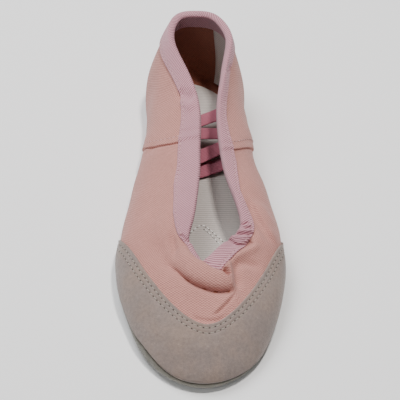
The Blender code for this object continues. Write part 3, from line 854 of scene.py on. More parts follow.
class Bench:
    """Node tree of one finish, and the one method that adds nodes to it."""

    def __init__(self, name: str) -> None:
        """Makes the material with its shader."""
        self.material = bpy.data.materials.new(name)
        self.material.use_nodes = True
        self.tree = self.material.node_tree
        self.shader = self.tree.nodes["Principled BSDF"]

    def node(self, kind: str, settings: dict | None = None, inputs: dict | None = None,
             out: str | int = 0) -> Wire:
        """Adds a node.

        Args:
            kind: The node's type.
            settings: Its own settings, set first.
            inputs: Values or wires for its sockets, by name or number.
            out: Which output to return.

        Returns:
            The output as a wire.
        """
        made = self.tree.nodes.new(kind)
        for key, value in (settings or {}).items():
            setattr(made, key, value)
        for key, value in (inputs or {}).items():
            self.feed(made.inputs[key], value)
        return Wire(self, made.outputs[out])

    def feed(self, socket: bpy.types.NodeSocket, value: "Wire | float | tuple") -> None:
        """Links a wire to a socket, or sets its value."""
        if isinstance(value, Wire):
            self.tree.links.new(value.socket, socket)
        else:
            socket.default_value = value

    def mix(self, share: "Wire | float", first: "Wire | tuple", second: "Wire | tuple") -> Wire:
        """Colour between two: first at a share of 0, second at 1."""
        first = first if isinstance(first, Wire) else (*first, 1.0)
        second = second if isinstance(second, Wire) else (*second, 1.0)
        return self.node("ShaderNodeMix", {"data_type": "RGBA"}, {0: share, 6: first, 7: second}, 2)

    def shade(self, colour: "Wire | tuple", tone: "Wire | float") -> Wire:
        """Colour times a grey tone."""
        grey = self.node("ShaderNodeCombineColor", {}, {"Red": tone, "Green": tone, "Blue": tone})
        first = colour if isinstance(colour, Wire) else (*colour, 1.0)
        return self.node("ShaderNodeMix", {"data_type": "RGBA", "blend_type": "MULTIPLY"},
                         {0: 1.0, 6: first, 7: grey}, 2)

    def places(self) -> tuple[Wire, Wire]:
        """The piece's own flat pattern places, in millimetres."""
        flat = self.node("ShaderNodeUVMap", {"uv_map": "flat"})
        return tuple(self.node("ShaderNodeSeparateXYZ", {}, {0: flat}, k) for k in (0, 1))

    def noise(self, size_mm: float, detail: float = 2.0, rough: float = 0.5) -> Wire:
        """Noise with features of that size, on Object coordinates."""
        spot = self.node("ShaderNodeTexCoord", {}, {}, "Object")
        return self.node("ShaderNodeTexNoise", {}, {"Vector": spot, "Scale": 1.0 / (size_mm * MM),
                                                   "Detail": detail, "Roughness": rough})

    def finish(self, colour: "Wire | tuple", height: Wire, depth_mm: float, rough: float,
               sheen: float, under: Wire | None = None, under_mm: float = 0.0) -> bpy.types.Material:
        """Links the finish to its shader.

        Args:
            colour: Base colour.
            height: Fine relief, from 0 to 1.
            depth_mm: How deep that relief is.
            rough: Roughness.
            sheen: Weight of the cloth's sheen.
            under: Broader relief, from 0 to 1, if any.
            under_mm: How deep it is.

        Returns:
            The material.
        """
        links = {"Height": height, "Distance": depth_mm * MM, "Strength": 1.0}
        if under is not None:
            links["Normal"] = self.node("ShaderNodeBump", {},
                                        {"Height": under, "Distance": under_mm * MM, "Strength": 1.0})
        self.feed(self.shader.inputs["Normal"], self.node("ShaderNodeBump", {}, links))
        self.feed(self.shader.inputs["Base Color"], colour)
        self.shader.inputs["Roughness"].default_value = rough
        self.shader.inputs["Sheen Weight"].default_value = sheen
        self.shader.inputs["Sheen Roughness"].default_value = 0.5
        self.shader.inputs["Specular IOR Level"].default_value = 0.25
        return self.material


Colour = tuple[float, float, float]


@dataclass(frozen=True)
class Canvas:
    """Plain woven cotton: bumps where one thread passes over the other, slightly uneven in tone."""

    name: str
    thread: Colour
    gap: Colour
    pitch: float = 0.68
    relief: float = 0.2

    def made(self) -> bpy.types.Material:
        """Builds the material. The weave is sine along the warp times sine along the weft."""
        b = Bench(self.name)
        along, across = b.places()
        wander = b.noise(2.5) * 0.9
        turn = np.pi / self.pitch
        weave = (along * turn + wander).sine() * (across * turn + wander).sine() * 0.5 + 0.5
        slub = b.noise(1.1, 3.0)
        tone = b.noise(14.0) * 0.14 + slub * 0.40 + 0.73
        colour = b.shade(b.mix(weave, self.gap, self.thread), tone)
        height = weave * 0.8 + slub * 0.2
        return b.finish(colour, height, self.relief, 0.92, 0.18, b.noise(4.0), 0.12)


@dataclass(frozen=True)
class Twill:
    """Twill tape: slanting ridges across it, finely cut by the other thread."""

    name: str
    light: Colour
    dark: Colour
    pitch: float = 1.3
    relief: float = 0.26

    def made(self) -> bpy.types.Material:
        """Builds the material. The ridges are a sine of the two places added."""
        b = Bench(self.name)
        along, across = b.places()
        slant = (along + across * 0.8 + b.noise(1.6) * 0.25) * (2.0 * np.pi / self.pitch)
        ridge = slant.sine() * 0.5 + 0.5
        cut = (along * (2.0 * np.pi / 0.55)).sine() * 0.5 + 0.5
        height = ridge * (cut * 0.3 + 0.7)
        tone = b.noise(9.0) * 0.12 + 0.94
        colour = b.shade(b.mix(height, self.dark, self.light), tone)
        return b.finish(colour, height, self.relief, 0.85, 0.25, b.noise(3.0), 0.1)


@dataclass(frozen=True)
class Suede:
    """Suede: a short nap in two close tones, cloudy where it has been brushed, with pale specks."""

    name: str
    warm: Colour
    cool: Colour
    nap: float = 0.55
    relief: float = 0.22

    def made(self) -> bpy.types.Material:
        """Builds the material from noises of the nap's, the specks' and the clouds' sizes."""
        b = Bench(self.name)
        clouds = b.noise(16.0, 4.0, 0.6).above(0.36, 0.64)
        nap = b.noise(self.nap, 3.0, 0.65)
        speck = b.noise(1.3, 1.0).above(0.66, 0.76)
        tone = nap * 0.40 + b.noise(1.6, 2.0) * 0.50 + b.noise(5.0, 3.0) * 0.24 + 0.43 + speck * 0.16
        colour = b.shade(b.mix(clouds, self.warm, self.cool), tone)
        return b.finish(colour, nap, self.relief, 0.96, 0.30, b.noise(5.0, 3.0), 0.16)


@dataclass(frozen=True)
class RibbedCotton:
    """Cotton lining: fine ribs across the shoe, each a rounded cord of threads."""

    name: str
    light: Colour
    dark: Colour
    pitch: float = 1.4
    relief: float = 0.2

    def made(self) -> bpy.types.Material:
        """Builds the material. A rib is the size of a sine along the shoe."""
        b = Bench(self.name)
        along, across = b.places()
        wander = b.noise(3.0) * 0.7
        rib = (across * (np.pi / self.pitch) + wander).sine().size()
        cut = (along * (2.0 * np.pi / 0.7) + wander).sine() * 0.5 + 0.5
        height = rib * (cut * 0.25 + 0.75)
        tone = b.noise(12.0) * 0.08 + b.noise(0.8, 3.0) * 0.1 + 0.92
        colour = b.shade(b.mix(height, self.dark, self.light), tone)
        return b.finish(colour, height, self.relief, 0.93, 0.15)


@dataclass(frozen=True)
class Webbing:
    """Elastic webbing: flat ribs along the band, finely cut across."""

    name: str
    light: Colour
    dark: Colour
    ribs: float = 1.05
    relief: float = 0.18

    def made(self) -> bpy.types.Material:
        """Builds the material. Ribs are the size of a sine across the band."""
        b = Bench(self.name)
        along, across = b.places()
        rib = (across * (np.pi / self.ribs)).sine().size() ** 0.5
        cut = (along * (2.0 * np.pi / 0.6)).sine() * 0.5 + 0.5
        height = rib * (cut * 0.3 + 0.7)
        colour = b.shade(b.mix(height, self.dark, self.light), b.noise(4.0) * 0.14 + 0.93)
        return b.finish(colour, height, self.relief, 0.78, 0.3)


@dataclass(frozen=True)
class Thread:
    """Sewing thread: two plies twisted, or the near-black painted shade of a needle hole."""

    name: str
    colour: Colour

    def made(self) -> bpy.types.Material:
        """Builds the material with a fine uneven tone."""
        b = Bench(self.name)
        fibre = b.noise(0.35, 2.0)
        return b.finish(b.shade(self.colour, fibre * 0.3 + 0.85), fibre, 0.05, 0.8, 0.1)


CANVAS = Canvas("canvas_weave", (0.62, 0.31, 0.265), (0.29, 0.11, 0.093))
TAPE = Twill("twill_tape", (0.74, 0.40, 0.455), (0.28, 0.11, 0.143))
CAP_SUEDE = Suede("cap_nap", (0.25, 0.187, 0.157), (0.228, 0.18, 0.161))
SOLE_SUEDE = Suede("sole_nap", (0.195, 0.18, 0.148), (0.175, 0.166, 0.14))
COTTON = RibbedCotton("ribbed_cotton", (0.64, 0.585, 0.55), (0.42, 0.37, 0.335))
ELASTIC = Webbing("elastic_webbing", (0.48, 0.15, 0.205), (0.22, 0.04, 0.066))
CREAM_THREAD = Thread("cream_thread", (0.36, 0.31, 0.265))
PINK_THREAD = Thread("pink_thread", (0.56, 0.33, 0.32))
WHITE_THREAD = Thread("white_thread", (0.90, 0.88, 0.84))
# The lining's own cotton tone darkened to a deep red-brown: painted shade for the shoe's shadowed inside.
LINING_PAINTED_SHADE = Canvas("lining_cotton_painted_shade", (0.32, 0.112, 0.068), (0.21, 0.066, 0.04))
# Near-black colour of the needle holes: painted shade inside the holes.
NEEDLE_HOLE_SHADE = Thread("needle_hole_painted_shade", (0.05, 0.042, 0.036))


@dataclass
class Seam:
    """A row of like stitches along a path, half sunk in the cloth, with dark beads of painted shade for the
    needle holes between them.
    """

    name: str
    pitch: float = 3.0
    length: float = 2.1
    width: float = 0.55
    height: float = 0.32
    hole: float = 0.34
    around: int = 6
    cuts: int = 6

    def spread(self, path: np.ndarray, normal: np.ndarray, shift: float) -> tuple[np.ndarray, ...]:
        """Centres and directions at even steps along a path.

        Args:
            path: Points along the seam.
            normal: Unit normals of the cloth there.
            shift: Start, as a share of the pitch.

        Returns:
            Centres, and unit vectors along, across and out of the cloth.
        """
        run = run_length(path)
        at = np.arange(self.pitch * shift, run[-1], self.pitch)
        centre = np.stack([np.interp(at, run, path[:, k]) for k in range(3)], axis=1)
        out = np.stack([np.interp(at, run, normal[:, k]) for k in range(3)], axis=1)
        ahead = np.stack([np.interp(at + 0.4, run, path[:, k]) for k in range(3)], axis=1)
        back = np.stack([np.interp(at - 0.4, run, path[:, k]) for k in range(3)], axis=1)
        along = ahead - back
        along /= np.linalg.norm(along, axis=1)[:, None]
        across = np.cross(out, along)
        across /= np.linalg.norm(across, axis=1)[:, None]
        return centre, along, across, np.cross(along, across)

    def many(self, frames: tuple[np.ndarray, ...], shape: np.ndarray) -> np.ndarray:
        """A copy of the shape in each frame: shape rows are lengths along, across and out."""
        centre, along, across, out = (f[:, None, None, :] for f in frames)
        return centre + shape[..., 0:1] * along + shape[..., 1:2] * across + shape[..., 2:3] * out

    def bead(self, length: float, width: float, height: float) -> np.ndarray:
        """Long bead: circles across, whose radius follows a flattened round along its length."""
        f = np.linspace(-1.0, 1.0, self.cuts + 1)[:, None]
        radius = np.sqrt(np.clip(1.0 - f**4, 0.0, 1.0))
        turn = np.linspace(0.0, 2.0 * np.pi, self.around + 1)[None, :]
        along = np.broadcast_to(f * length / 2.0, (self.cuts + 1, self.around + 1))
        return np.stack([along, radius * np.cos(turn) * width / 2.0, radius * np.sin(turn) * height], axis=-1)

    def sew(self, rows: list[tuple[np.ndarray, np.ndarray]], thread: bpy.types.Material,
            hole: bpy.types.Material | None) -> list[bpy.types.Object]:
        """Sews the rows of this seam.

        Args:
            rows: For each row its path and the cloth's normals along it.
            thread: The thread's material.
            hole: The needle holes' near-black painted-shade material, or None for none.

        Returns:
            The joined stitches, and the joined painted-shade hole beads where there are any.
        """
        made = []
        kinds = [("stitches", self.bead(self.length, self.width, self.height), 0.5, thread)]
        if hole is not None:
            # Dark beads at the needle holes: painted shade.
            kinds.append(("hole_shade_beads", self.bead(self.hole * 2.0, self.hole * 1.6, 0.16), 0.0, hole))
        for word, shape, shift, finish in kinds:
            piece = Pattern()
            for path, normal in rows:
                for one in self.many(self.spread(path, normal, shift), shape):
                    piece.add(one)
            made.append(place_piece(piece.make(f"{self.name}_{word}", finish)))
        return made


def place_piece(obj: bpy.types.Object, node: str | None = None) -> bpy.types.Object:
    """Rides the piece on the slipper's body, and hides the imported part that it stands for."""
    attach(obj, BODY)
    if node is not None:
        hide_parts(node)
    LOG.info("%s: %d faces", obj.name, len(obj.data.polygons))
    return obj


@dataclass
class Upper:
    """Canvas upper: one hollow cloth with its bottom, the quarter lapped over the vamp."""

    ring_cuts: int = 620
    rib_cuts: int = 108
    inside_cuts: int = 24
    bottom_cuts: int = 14
    seam_start: float = 9.0
    seam_fade: float = 4.0
    stitched: tuple[float, float] = (4.0, 6.0)

    def grid(self, cuts: int) -> tuple[np.ndarray, np.ndarray, np.ndarray]:
        """Ring places and q of a grid whose rows run up beside the side seams.

        Args:
            cuts: How many cells go up each rib, closer together toward the collar.

        Returns:
            Ring places, q, and the share of the rib's height of each column.
        """
        share = np.linspace(0.0, 1.0, cuts + 1)[None, :]
        share = share + 0.22 * np.sin(np.pi * share) * share
        share = share / share[0, -1]
        u = CLOTH.along_seams(LAST.ring(self.ring_cuts, 14.0), share)
        return u, LAST.climb(u, LAST.lengths(u)[..., -1] * share), share

    def build(self, canvas: bpy.types.Material, lining: bpy.types.Material) -> bpy.types.Object:
        """Outer face, inner face and bottom, joined under the binding."""
        piece = Pattern()
        u, q, share = self.grid(self.rib_cuts)
        up = ease((LAST.height_up(u, q) - self.seam_start) / self.seam_fade)
        raised = CLOTH.seam_raise(CLOTH.seam_behind(u, share)) * up
        face = CLOTH.layer(u, q, raised)
        face[-1] = face[0]
        outer = piece.add(face, CLOTH.grain(u, q, face))
        u_in, q_in, _ = self.grid(self.inside_cuts)
        back = CLOTH.layer(u_in, q_in, -CLOTH.canvas)
        back[-1] = back[0]
        # Slot 1 is the lining, whose colour is darkened with painted shade.
        inner = piece.add(back, CLOTH.grain(u_in, q_in, back), True, 1)
        piece.join(outer[:, -1], inner[:, -1])
        left = u[: self.ring_cuts // 2 + 1, :1]
        w = np.linspace(-1.0, 1.0, self.bottom_cuts + 1)[None, :]
        q_side = np.repeat(np.abs(w), len(left), axis=0)
        on_left = (w <= 0.0)[..., None]
        for off, slot in ((0.0, 0), (-CLOTH.canvas, 1)):
            points = np.where(on_left, CLOTH.layer(left, q_side, off), CLOTH.layer(1.0 - left, q_side, off))
            piece.add(points, points[..., :2], slot == 0, slot)
        return place_piece(piece.make("upper_cloth", canvas, lining), "upper")

    def seam_rows(self) -> list[tuple[np.ndarray, np.ndarray]]:
        """Paths of the stitches behind the side seams, from above the sole to under the tape."""
        rows = []
        for side, behind in zip((0.0, 1.0), self.stitched):
            share = np.linspace(0.22, 0.93, 160)[:, None]
            u = CLOTH.seam_u(np.full(share.shape, side), share)
            u = u + behind / CLOTH.ring_mm * (1.0 if side else -1.0)
            q = LAST.climb(u, LAST.lengths(u)[..., -1] * share)
            lift = CLOTH.seam_raise(np.full(u.shape, behind)) + 0.02
            rows.append((CLOTH.layer(u, q, lift)[:, 0], LAST.outward(u, q)[:, 0]))
        return rows


@dataclass
class ToeCap:
    """Suede toe cap over the front of the vamp, thin at its stitched V-shaped edge."""

    front: float = 25.5
    rise: float = 0.083
    power: float = 1.75
    shift: float = 1.5
    end: float = 96.0
    taper: float = 78.0
    tail: float = 4.0
    gap: float = 0.1
    low_off: float = 1.1
    high_off: float = 1.9
    edge_off: float = 1.05
    under_edge: float = 0.1
    cuts: int = 320
    rows: int = 60
    stitch_rows: tuple[float, float] = (2.2, 4.9)

    def top(self, u: np.ndarray) -> np.ndarray:
        """Height up each rib of the cap's edge: the last point inside its rounded V."""
        q = np.tile(np.linspace(1.0, 2.0, 481), (len(u), 1))
        grid = LAST.skin(u, q)
        edge_t = self.front + self.rise * np.abs(grid[..., 0] - self.shift) ** self.power
        beyond = grid[..., 1] - edge_t
        inside = beyond < 0.0
        last = q.shape[1] - 1 - np.argmax(inside[:, ::-1], axis=1)
        last = np.where(inside.any(axis=1), np.minimum(last, q.shape[1] - 2), 0)[:, None]
        low = np.take_along_axis(beyond, last, axis=1)
        high = np.take_along_axis(beyond, last + 1, axis=1)
        part = np.clip(-low / np.maximum(high - low, 1e-6), 0.0, 1.0)
        return LAST.height_up(u, np.take_along_axis(q, last, axis=1) + part * (q[0, 1] - q[0, 0]))

    def span(self, u: np.ndarray) -> tuple[np.ndarray, np.ndarray]:
        """Heights up each rib of the cap's lower and upper edges."""
        foot_t = LAST.foot_t(u)
        low = self.gap + FRONT_SOLE.rim_height(u)
        high = self.top(u)
        fade = np.clip((foot_t - self.taper) / (self.end - self.taper), 0.0, 1.0)
        ring = np.linspace(0.3, 0.7, 801)
        start = np.interp(LAST.u_at(self.taper), ring, self.top(ring[:, None])[:, 0])
        return low, np.where(foot_t > self.taper, start + (low + self.tail - start) * fade, high)

    def build(self, suede: bpy.types.Material) -> bpy.types.Object:
        """Outer and inner suede between the two edges, the outer one rounded down at its rims."""
        end = float(LAST.u_at(self.end))
        u = end + (1.0 - 2.0 * end) * np.linspace(0.0, 1.0, self.cuts + 1)[:, None]
        low, high = self.span(u)
        share = np.linspace(0.0, 1.0, self.rows + 1)[None, :]
        s = low + (high - low) * (1.0 - (1.0 - share) ** 1.5)
        q = LAST.climb(u, s)
        under = high - s
        over = s - low
        off = self.edge_off + (self.high_off - self.edge_off) * ease(under / 14.0)
        for row in self.stitch_rows:
            off = off - 0.30 * bell((under - row) / 0.7)
        off = self.low_off + (off - self.low_off) * round_up(over / 0.8)
        off = self.under_edge + (off - self.under_edge) * round_up(under / 0.6)
        inside = np.minimum(off - 0.02, self.under_edge + (self.low_off - self.under_edge) * ease(under / 6.0))
        piece = Pattern()
        piece.shell(CLOTH.layer(u, q, off), CLOTH.layer(u, q, inside))
        return place_piece(piece.make("toe_cap_suede", suede), "toe_cap")

    def seam_rows(self) -> list[tuple[np.ndarray, np.ndarray]]:
        """Paths of the two rows of stitches inside the cap's edge."""
        end = float(LAST.u_at(self.taper)) - 0.004
        u = end + (1.0 - 2.0 * end) * np.linspace(0.0, 1.0, 700)[:, None]
        high = self.span(u)[1]
        rows = []
        for row in self.stitch_rows:
            q = LAST.climb(u, high - row)
            off = self.edge_off - 0.26 + (self.high_off - self.edge_off) * ease(row / 14.0)
            rows.append((CLOTH.layer(u, q, off)[:, 0], LAST.outward(u, q)[:, 0]))
        return rows


@dataclass
class SolePatch:
    """Suede sole patch: flat under the foot, turned up as a thin rim, with a round inner end."""

    name: str
    node: str
    slot: str
    tip_u: float
    side_t: float
    end_t: float
    rim: float
    tip_share: float
    left_share: float
    right_share: float
    pleated_tip: bool = False
    seat: float = 0.3
    thick: float = 1.8
    rim_thick: float = 1.2
    settles: tuple[float, float] = (35.0, 35.0)
    pleat_u: float = 0.0245
    dies: float = 0.45
    thins: float = 0.12
    end_power: float = 2.2
    rows: int = 170
    bottom_cuts: int = 30
    rim_cuts: int = 14
    stitch_in: float = 2.4
    sunk: float = 0.34

    def past_side(self, t: np.ndarray) -> np.ndarray:
        """How far t lies past the place where the sides begin to close, as a share of the end."""
        return (t - self.side_t) / (self.end_t - self.side_t)

    def rim_height(self, u: np.ndarray) -> np.ndarray:
        """Millimetres that the rim climbs at u: low at its tip and gone before the round end."""
        t = LAST.foot_t(u)
        tip_t = float(LAST.foot_t(np.array([self.tip_u]))[0])
        away = ease(np.abs(t - tip_t) / np.where(u > 0.5, self.settles[1], self.settles[0]))
        side = np.where(u > 0.5, self.right_share, self.left_share)
        share = self.tip_share + (side - self.tip_share) * away
        return self.rim * share * np.clip(1.0 - self.past_side(t) / self.dies, 0.0, 1.0)

    def bottom_share(self, t: np.ndarray) -> np.ndarray:
        """How much of the bottom's width the patch covers at t: a rounded end."""
        past = np.clip((self.past_side(t) - self.dies) / (1.0 - self.dies), 0.0, 1.0)
        return np.sqrt(1.0 - past**self.end_power)

    def half(self, u: np.ndarray) -> tuple[np.ndarray, np.ndarray]:
        """q over one half of the patch, and its share of the way across, with the edge at 1."""
        close = 1.0 - (1.0 - np.linspace(0.0, 1.0, self.bottom_cuts + 1)[None, :]) ** 1.8
        inner = close * self.bottom_share(LAST.foot_t(u))
        step = np.linspace(0.0, 1.0, self.rim_cuts + 1)[None, 1:]
        climbed = self.rim_height(u) * step
        rim = np.where(climbed > 0.0, LAST.climb(u, climbed), inner[:, -1:])
        return np.hstack([inner, rim]), np.hstack([close * 0.75, 0.75 + 0.25 * step])

    def build(self, suede: bpy.types.Material) -> bpy.types.Object:
        """Outer and inner faces from the left rim over the bottom to the right rim."""
        end_u = float(LAST.u_at(self.end_t))
        near = 1.0 - np.cos(np.linspace(0.0, np.pi / 2.0, self.rows + 1))[:, None]
        left = end_u + (self.tip_u - end_u) * near
        piece = Pattern()
        sheets = []
        for outside in (True, False):
            sides = []
            for u in (left, 1.0 - left):
                q, across = self.half(u)
                rounded = round_up((1.0 - across) / 0.05) * round_up(near / 0.004)
                thick = self.thick + (self.rim_thick - self.thick) * np.clip((q - 1.0) / self.thins, 0, 1)
                off = self.seat + thick * (0.35 + 0.65 * rounded) * outside
                if outside:
                    off = off - self.pleated(u, q) - self.sunk * bell((self.inset(u, q) - self.stitch_in) / 0.8)
                sides.append(CLOTH.layer(u, q, off))
            sheets.append(np.hstack([sides[0][:, :0:-1], sides[1]]))
        piece.shell(*sheets, folded=True)
        return place_piece(piece.make(self.name, suede), self.node)

    def inset(self, u: np.ndarray, q: np.ndarray) -> np.ndarray:
        """How far inside the patch's edge a place on the bottom lies, in millimetres."""
        t = LAST.foot_t(u)
        return (self.bottom_share(t) - q) * LAST.half_width(t)

    def pleated(self, u: np.ndarray, q: np.ndarray) -> np.ndarray:
        """Depth of the gathers round the tip: narrow grooves over the turn of the sole."""
        if not self.pleated_tip:
            return np.zeros(q.shape)
        turn = (u - self.tip_u) / self.pleat_u
        groove = bell((turn - np.round(turn)) / 0.07)
        reach = ease((0.062 - np.abs(u - self.tip_u)) / 0.012)
        return 0.3 * groove * reach * ease((q - 0.72) / 0.2) * (np.abs(turn) > 0.5)

    def seam_rows(self) -> list[tuple[np.ndarray, np.ndarray]]:
        """Path of the stitches under the shoe, sunk in their groove inside the patch's edge."""
        end_u = float(LAST.u_at(self.end_t))
        near = 1.0 - np.cos(np.linspace(0.0, np.pi / 2.0, 400))[:, None]
        left = end_u + (self.tip_u - end_u) * (0.02 + 0.90 * near)
        sides = []
        for u in (left, 1.0 - left):
            t = LAST.foot_t(u)
            width = LAST.half_width(t)
            q = np.clip(self.bottom_share(t) * width - self.stitch_in, 0.0, None) / width
            sides.append((CLOTH.layer(u, q, self.seat + self.thick - self.sunk)[:, 0],
                          LAST.outward(u, q)[:, 0]))
        path = np.vstack([sides[0][0][::-1], sides[1][0]])
        normal = np.vstack([sides[0][1][::-1], sides[1][1]])
        return [(path, normal)]


FRONT_SOLE = SolePatch("front_sole_suede", "front_sole", "sole_suede", 0.5, 70.0, 108.0, 8.8, 0.34, 1.12, 0.6,
                       pleated_tip=True, settles=(16.0, 35.0))
HEEL_SOLE = SolePatch("heel_sole_suede", "heel_sole", "heel_suede", 0.0, 199.0, 178.0, 6.6, 1.0, 1.0, 1.0)


@dataclass
class Insole:
    """Ribbed cotton insole, sewn through with an arch of stitches over the front sole's end."""

    inset: float = 1.5
    start: float = 10.5
    end: float = 223.5
    low: float = 1.7
    thick: float = 1.0
    rows: int = 200
    cols: int = 36
    taper_power: float = 14.0
    arch_top: float = 104.9
    arch_round: float = 3.0
    arch_reach: float = 11.5
    arch_middle: float = 2.0

    def edge(self, t: np.ndarray) -> np.ndarray:
        """Share of the bottom's half width that the insole reaches at t."""
        middle, reach = (self.start + self.end) / 2.0, (self.end - self.start) / 2.0
        taper = np.sqrt(np.clip(1.0 - np.abs((t - middle) / reach) ** self.taper_power, 0.0, 1.0))
        half = LAST.half_width(t)
        return np.maximum(half - self.inset, 0.0) * taper / half

    def top_at(self, x: np.ndarray, t: np.ndarray) -> np.ndarray:
        """Points of the insole's upper face above x and t."""
        u = LAST.u_at(t)
        u = np.where(x > 0.0, 1.0 - u, u)
        return LAST.skin(u, np.abs(x) / LAST.half_width(t)) + np.array([0.0, 0.0, self.low + self.thick])

    def build(self, cotton: bpy.types.Material) -> bpy.types.Object:
        """Upper and lower faces, the upper one rounded at the rim."""
        middle, reach = (self.start + self.end) / 2.0, (self.end - self.start) / 2.0
        t = middle - reach * np.cos(np.linspace(0.0, np.pi, self.rows + 1))[:, None]
        u = LAST.u_at(t)
        w = np.sin(np.linspace(-np.pi / 2.0, np.pi / 2.0, self.cols + 1))[None, :]
        q = np.abs(w) * self.edge(t)
        soft = round_up((1.0 - np.abs(w)) / 0.05) * round_up(self.edge(t) / 0.1)
        flat = np.where((w <= 0.0)[..., None], LAST.skin(u, q), LAST.skin(1.0 - u, q))
        up = np.array([0.0, 0.0, 1.0])
        piece = Pattern()
        piece.shell(flat + up * self.low, flat + up * (self.low + self.thick * (0.4 + 0.6 * soft))[..., None],
                    flat[..., :2])
        return place_piece(piece.make("insole_cotton", cotton), "insole")

    def seam_rows(self) -> list[tuple[np.ndarray, np.ndarray]]:
        """Paths of the arch's two rows: legs at half a right angle that meet in a round top."""
        rows = []
        for lower, first, last, slope in ((0.0, -1.0, 1.0, 1.3), (2.2, 0.1, 0.78, 1.6)):
            x = np.linspace(first, last, 160) * self.arch_reach
            t = self.arch_top - lower - (np.sqrt(x**2 + self.arch_round**2) - self.arch_round) * slope
            path = self.top_at(x + self.arch_middle, t) + np.array([0.0, 0.0, 0.05])
            rows.append((path, np.tile([0.0, 0.0, 1.0], (len(path), 1))))
        return rows


@dataclass
class Binding:
    """Twill tape folded over the collar: outer leaf, rounded fold and inner leaf."""

    seat: float = 0.5
    thick: float = 0.8
    inside: float = 10.0
    cuts: int = 760
    leaf_cuts: int = 18
    fold_cuts: int = 8
    stitch_in: float = 1.6
    pucker: float = 3.0
    stands: float = 1.2

    def lapped(self, u: np.ndarray, down: np.ndarray) -> np.ndarray:
        """How far the side seam's lap lifts the tape."""
        share = 1.0 - down / LAST.lengths(u)[..., -1]
        return np.clip(CLOTH.seam_raise(CLOTH.seam_behind(u, share)), 0.0, None)

    def profile(self, u: np.ndarray) -> tuple[np.ndarray, ...]:
        """The tape's section at each ring place.

        It runs down from the fold on the outside, round its low edge, back up against the canvas,
        over the canvas's edge, down and round the inner leaf, and up to the fold again.

        Args:
            u: Ring places, a column.

        Returns:
            Distance down the rib, offset from the canvas, height above its edge, and the length
            run round the tape's face, each with a row for each ring place.
        """
        width = CLOTH.tape_width(u)
        full = np.clip(width / 3.0, 0.0, 1.0)
        far = self.seat + self.thick
        near = self.seat
        leaf = np.sin(np.linspace(0.0, 1.0, self.leaf_cuts + 1)[None, :] * np.pi / 2.0)
        down_out = width * leaf
        proud = self.lapped(u, down_out)
        left = width - down_out
        off_out = near * 0.4 + (far - near * 0.4) * round_up(left / 0.9) * full + 0.06
        off_out = off_out - 0.32 * bell((left - self.stitch_in) / 0.6) * full + proud
        off_back = near * 0.3 + proud[:, ::-1]
        turn = np.linspace(0.0, np.pi, self.fold_cuts + 1)[None, :]
        out_top = off_out[:, :1]
        in_top = CLOTH.canvas + far
        fold_off = (out_top - in_top) / 2.0 + (out_top + in_top) / 2.0 * np.cos(turn)
        rise = 1.0 + self.stands * ease((u - 0.36) / 0.03) * ease((0.50 - u) / 0.03)
        fold_up = far * rise * np.sin(turn)
        down_in = self.inside * leaf
        left_in = self.inside - down_in
        off_in = -CLOTH.canvas - near * 0.4 - (far - near * 0.4) * round_up(left_in / 0.9)
        ones = np.ones((len(u), 1))
        off_in_back = ones * np.full(down_in.shape, -CLOTH.canvas - near * 0.3)
        zero = 0.0 * down_out
        down = np.hstack([down_out[:, ::-1], 0 * fold_off, ones * down_in, ones * down_in[:, ::-1], down_out])
        off = np.hstack([off_out[:, ::-1], fold_off, ones * off_in, off_in_back, off_back[:, ::-1]])
        up = np.hstack([zero, fold_up, zero, zero, zero])
        run = np.hstack([-down_out[:, ::-1], ones * turn / np.pi * 5.0, 5.0 + ones * down_in,
                         ones * (5.0 + down_in[:, ::-1]), -down_out])
        return down, off, up, run

    def build(self, tape: bpy.types.Material) -> bpy.types.Object:
        """The section carried round the collar."""
        u = LAST.ring(self.cuts)
        down, off, up, run = self.profile(u)
        down, off, up, run = (np.hstack([a, a[:, :1]]) for a in (down, off, up, run))
        q = LAST.drop(u, down)
        along = run_length(LAST.skin(u[:, 0], 2.0))[:, None]
        wave = 0.09 * np.sin(2.0 * np.pi * along / self.pucker) * (off > 0.3)
        points = CLOTH.layer(u, q, off + wave * bell((CLOTH.tape_width(u) - down - 1.6) / 1.4), up)
        points[-1] = points[0]
        places = np.stack([np.broadcast_to(along, q.shape), run], axis=-1)
        piece = Pattern()
        piece.add(points, places)
        return place_piece(piece.make("collar_tape", tape), "collar_binding")

    def seam_rows(self) -> list[tuple[np.ndarray, np.ndarray]]:
        """Path of the stitches inside the outer leaf's edge, where the leaf shows."""
        rows = []
        for first, last in ((0.532, 0.9999), (0.0, 0.352)):
            u = np.linspace(first, last, 900)[:, None]
            down = CLOTH.tape_width(u) - self.stitch_in
            q = LAST.drop(u, down)
            lift = self.seat + self.thick - 0.28 + self.lapped(u, down)
            rows.append((CLOTH.layer(u, q, lift)[:, 0], LAST.outward(u, q)[:, 0]))
        return rows


class Band(NamedTuple):
    """Where an elastic crosses the shoe: its place, slant and top height on the centre line."""

    node: str
    middle_t: float
    slant: float
    middle_z: float


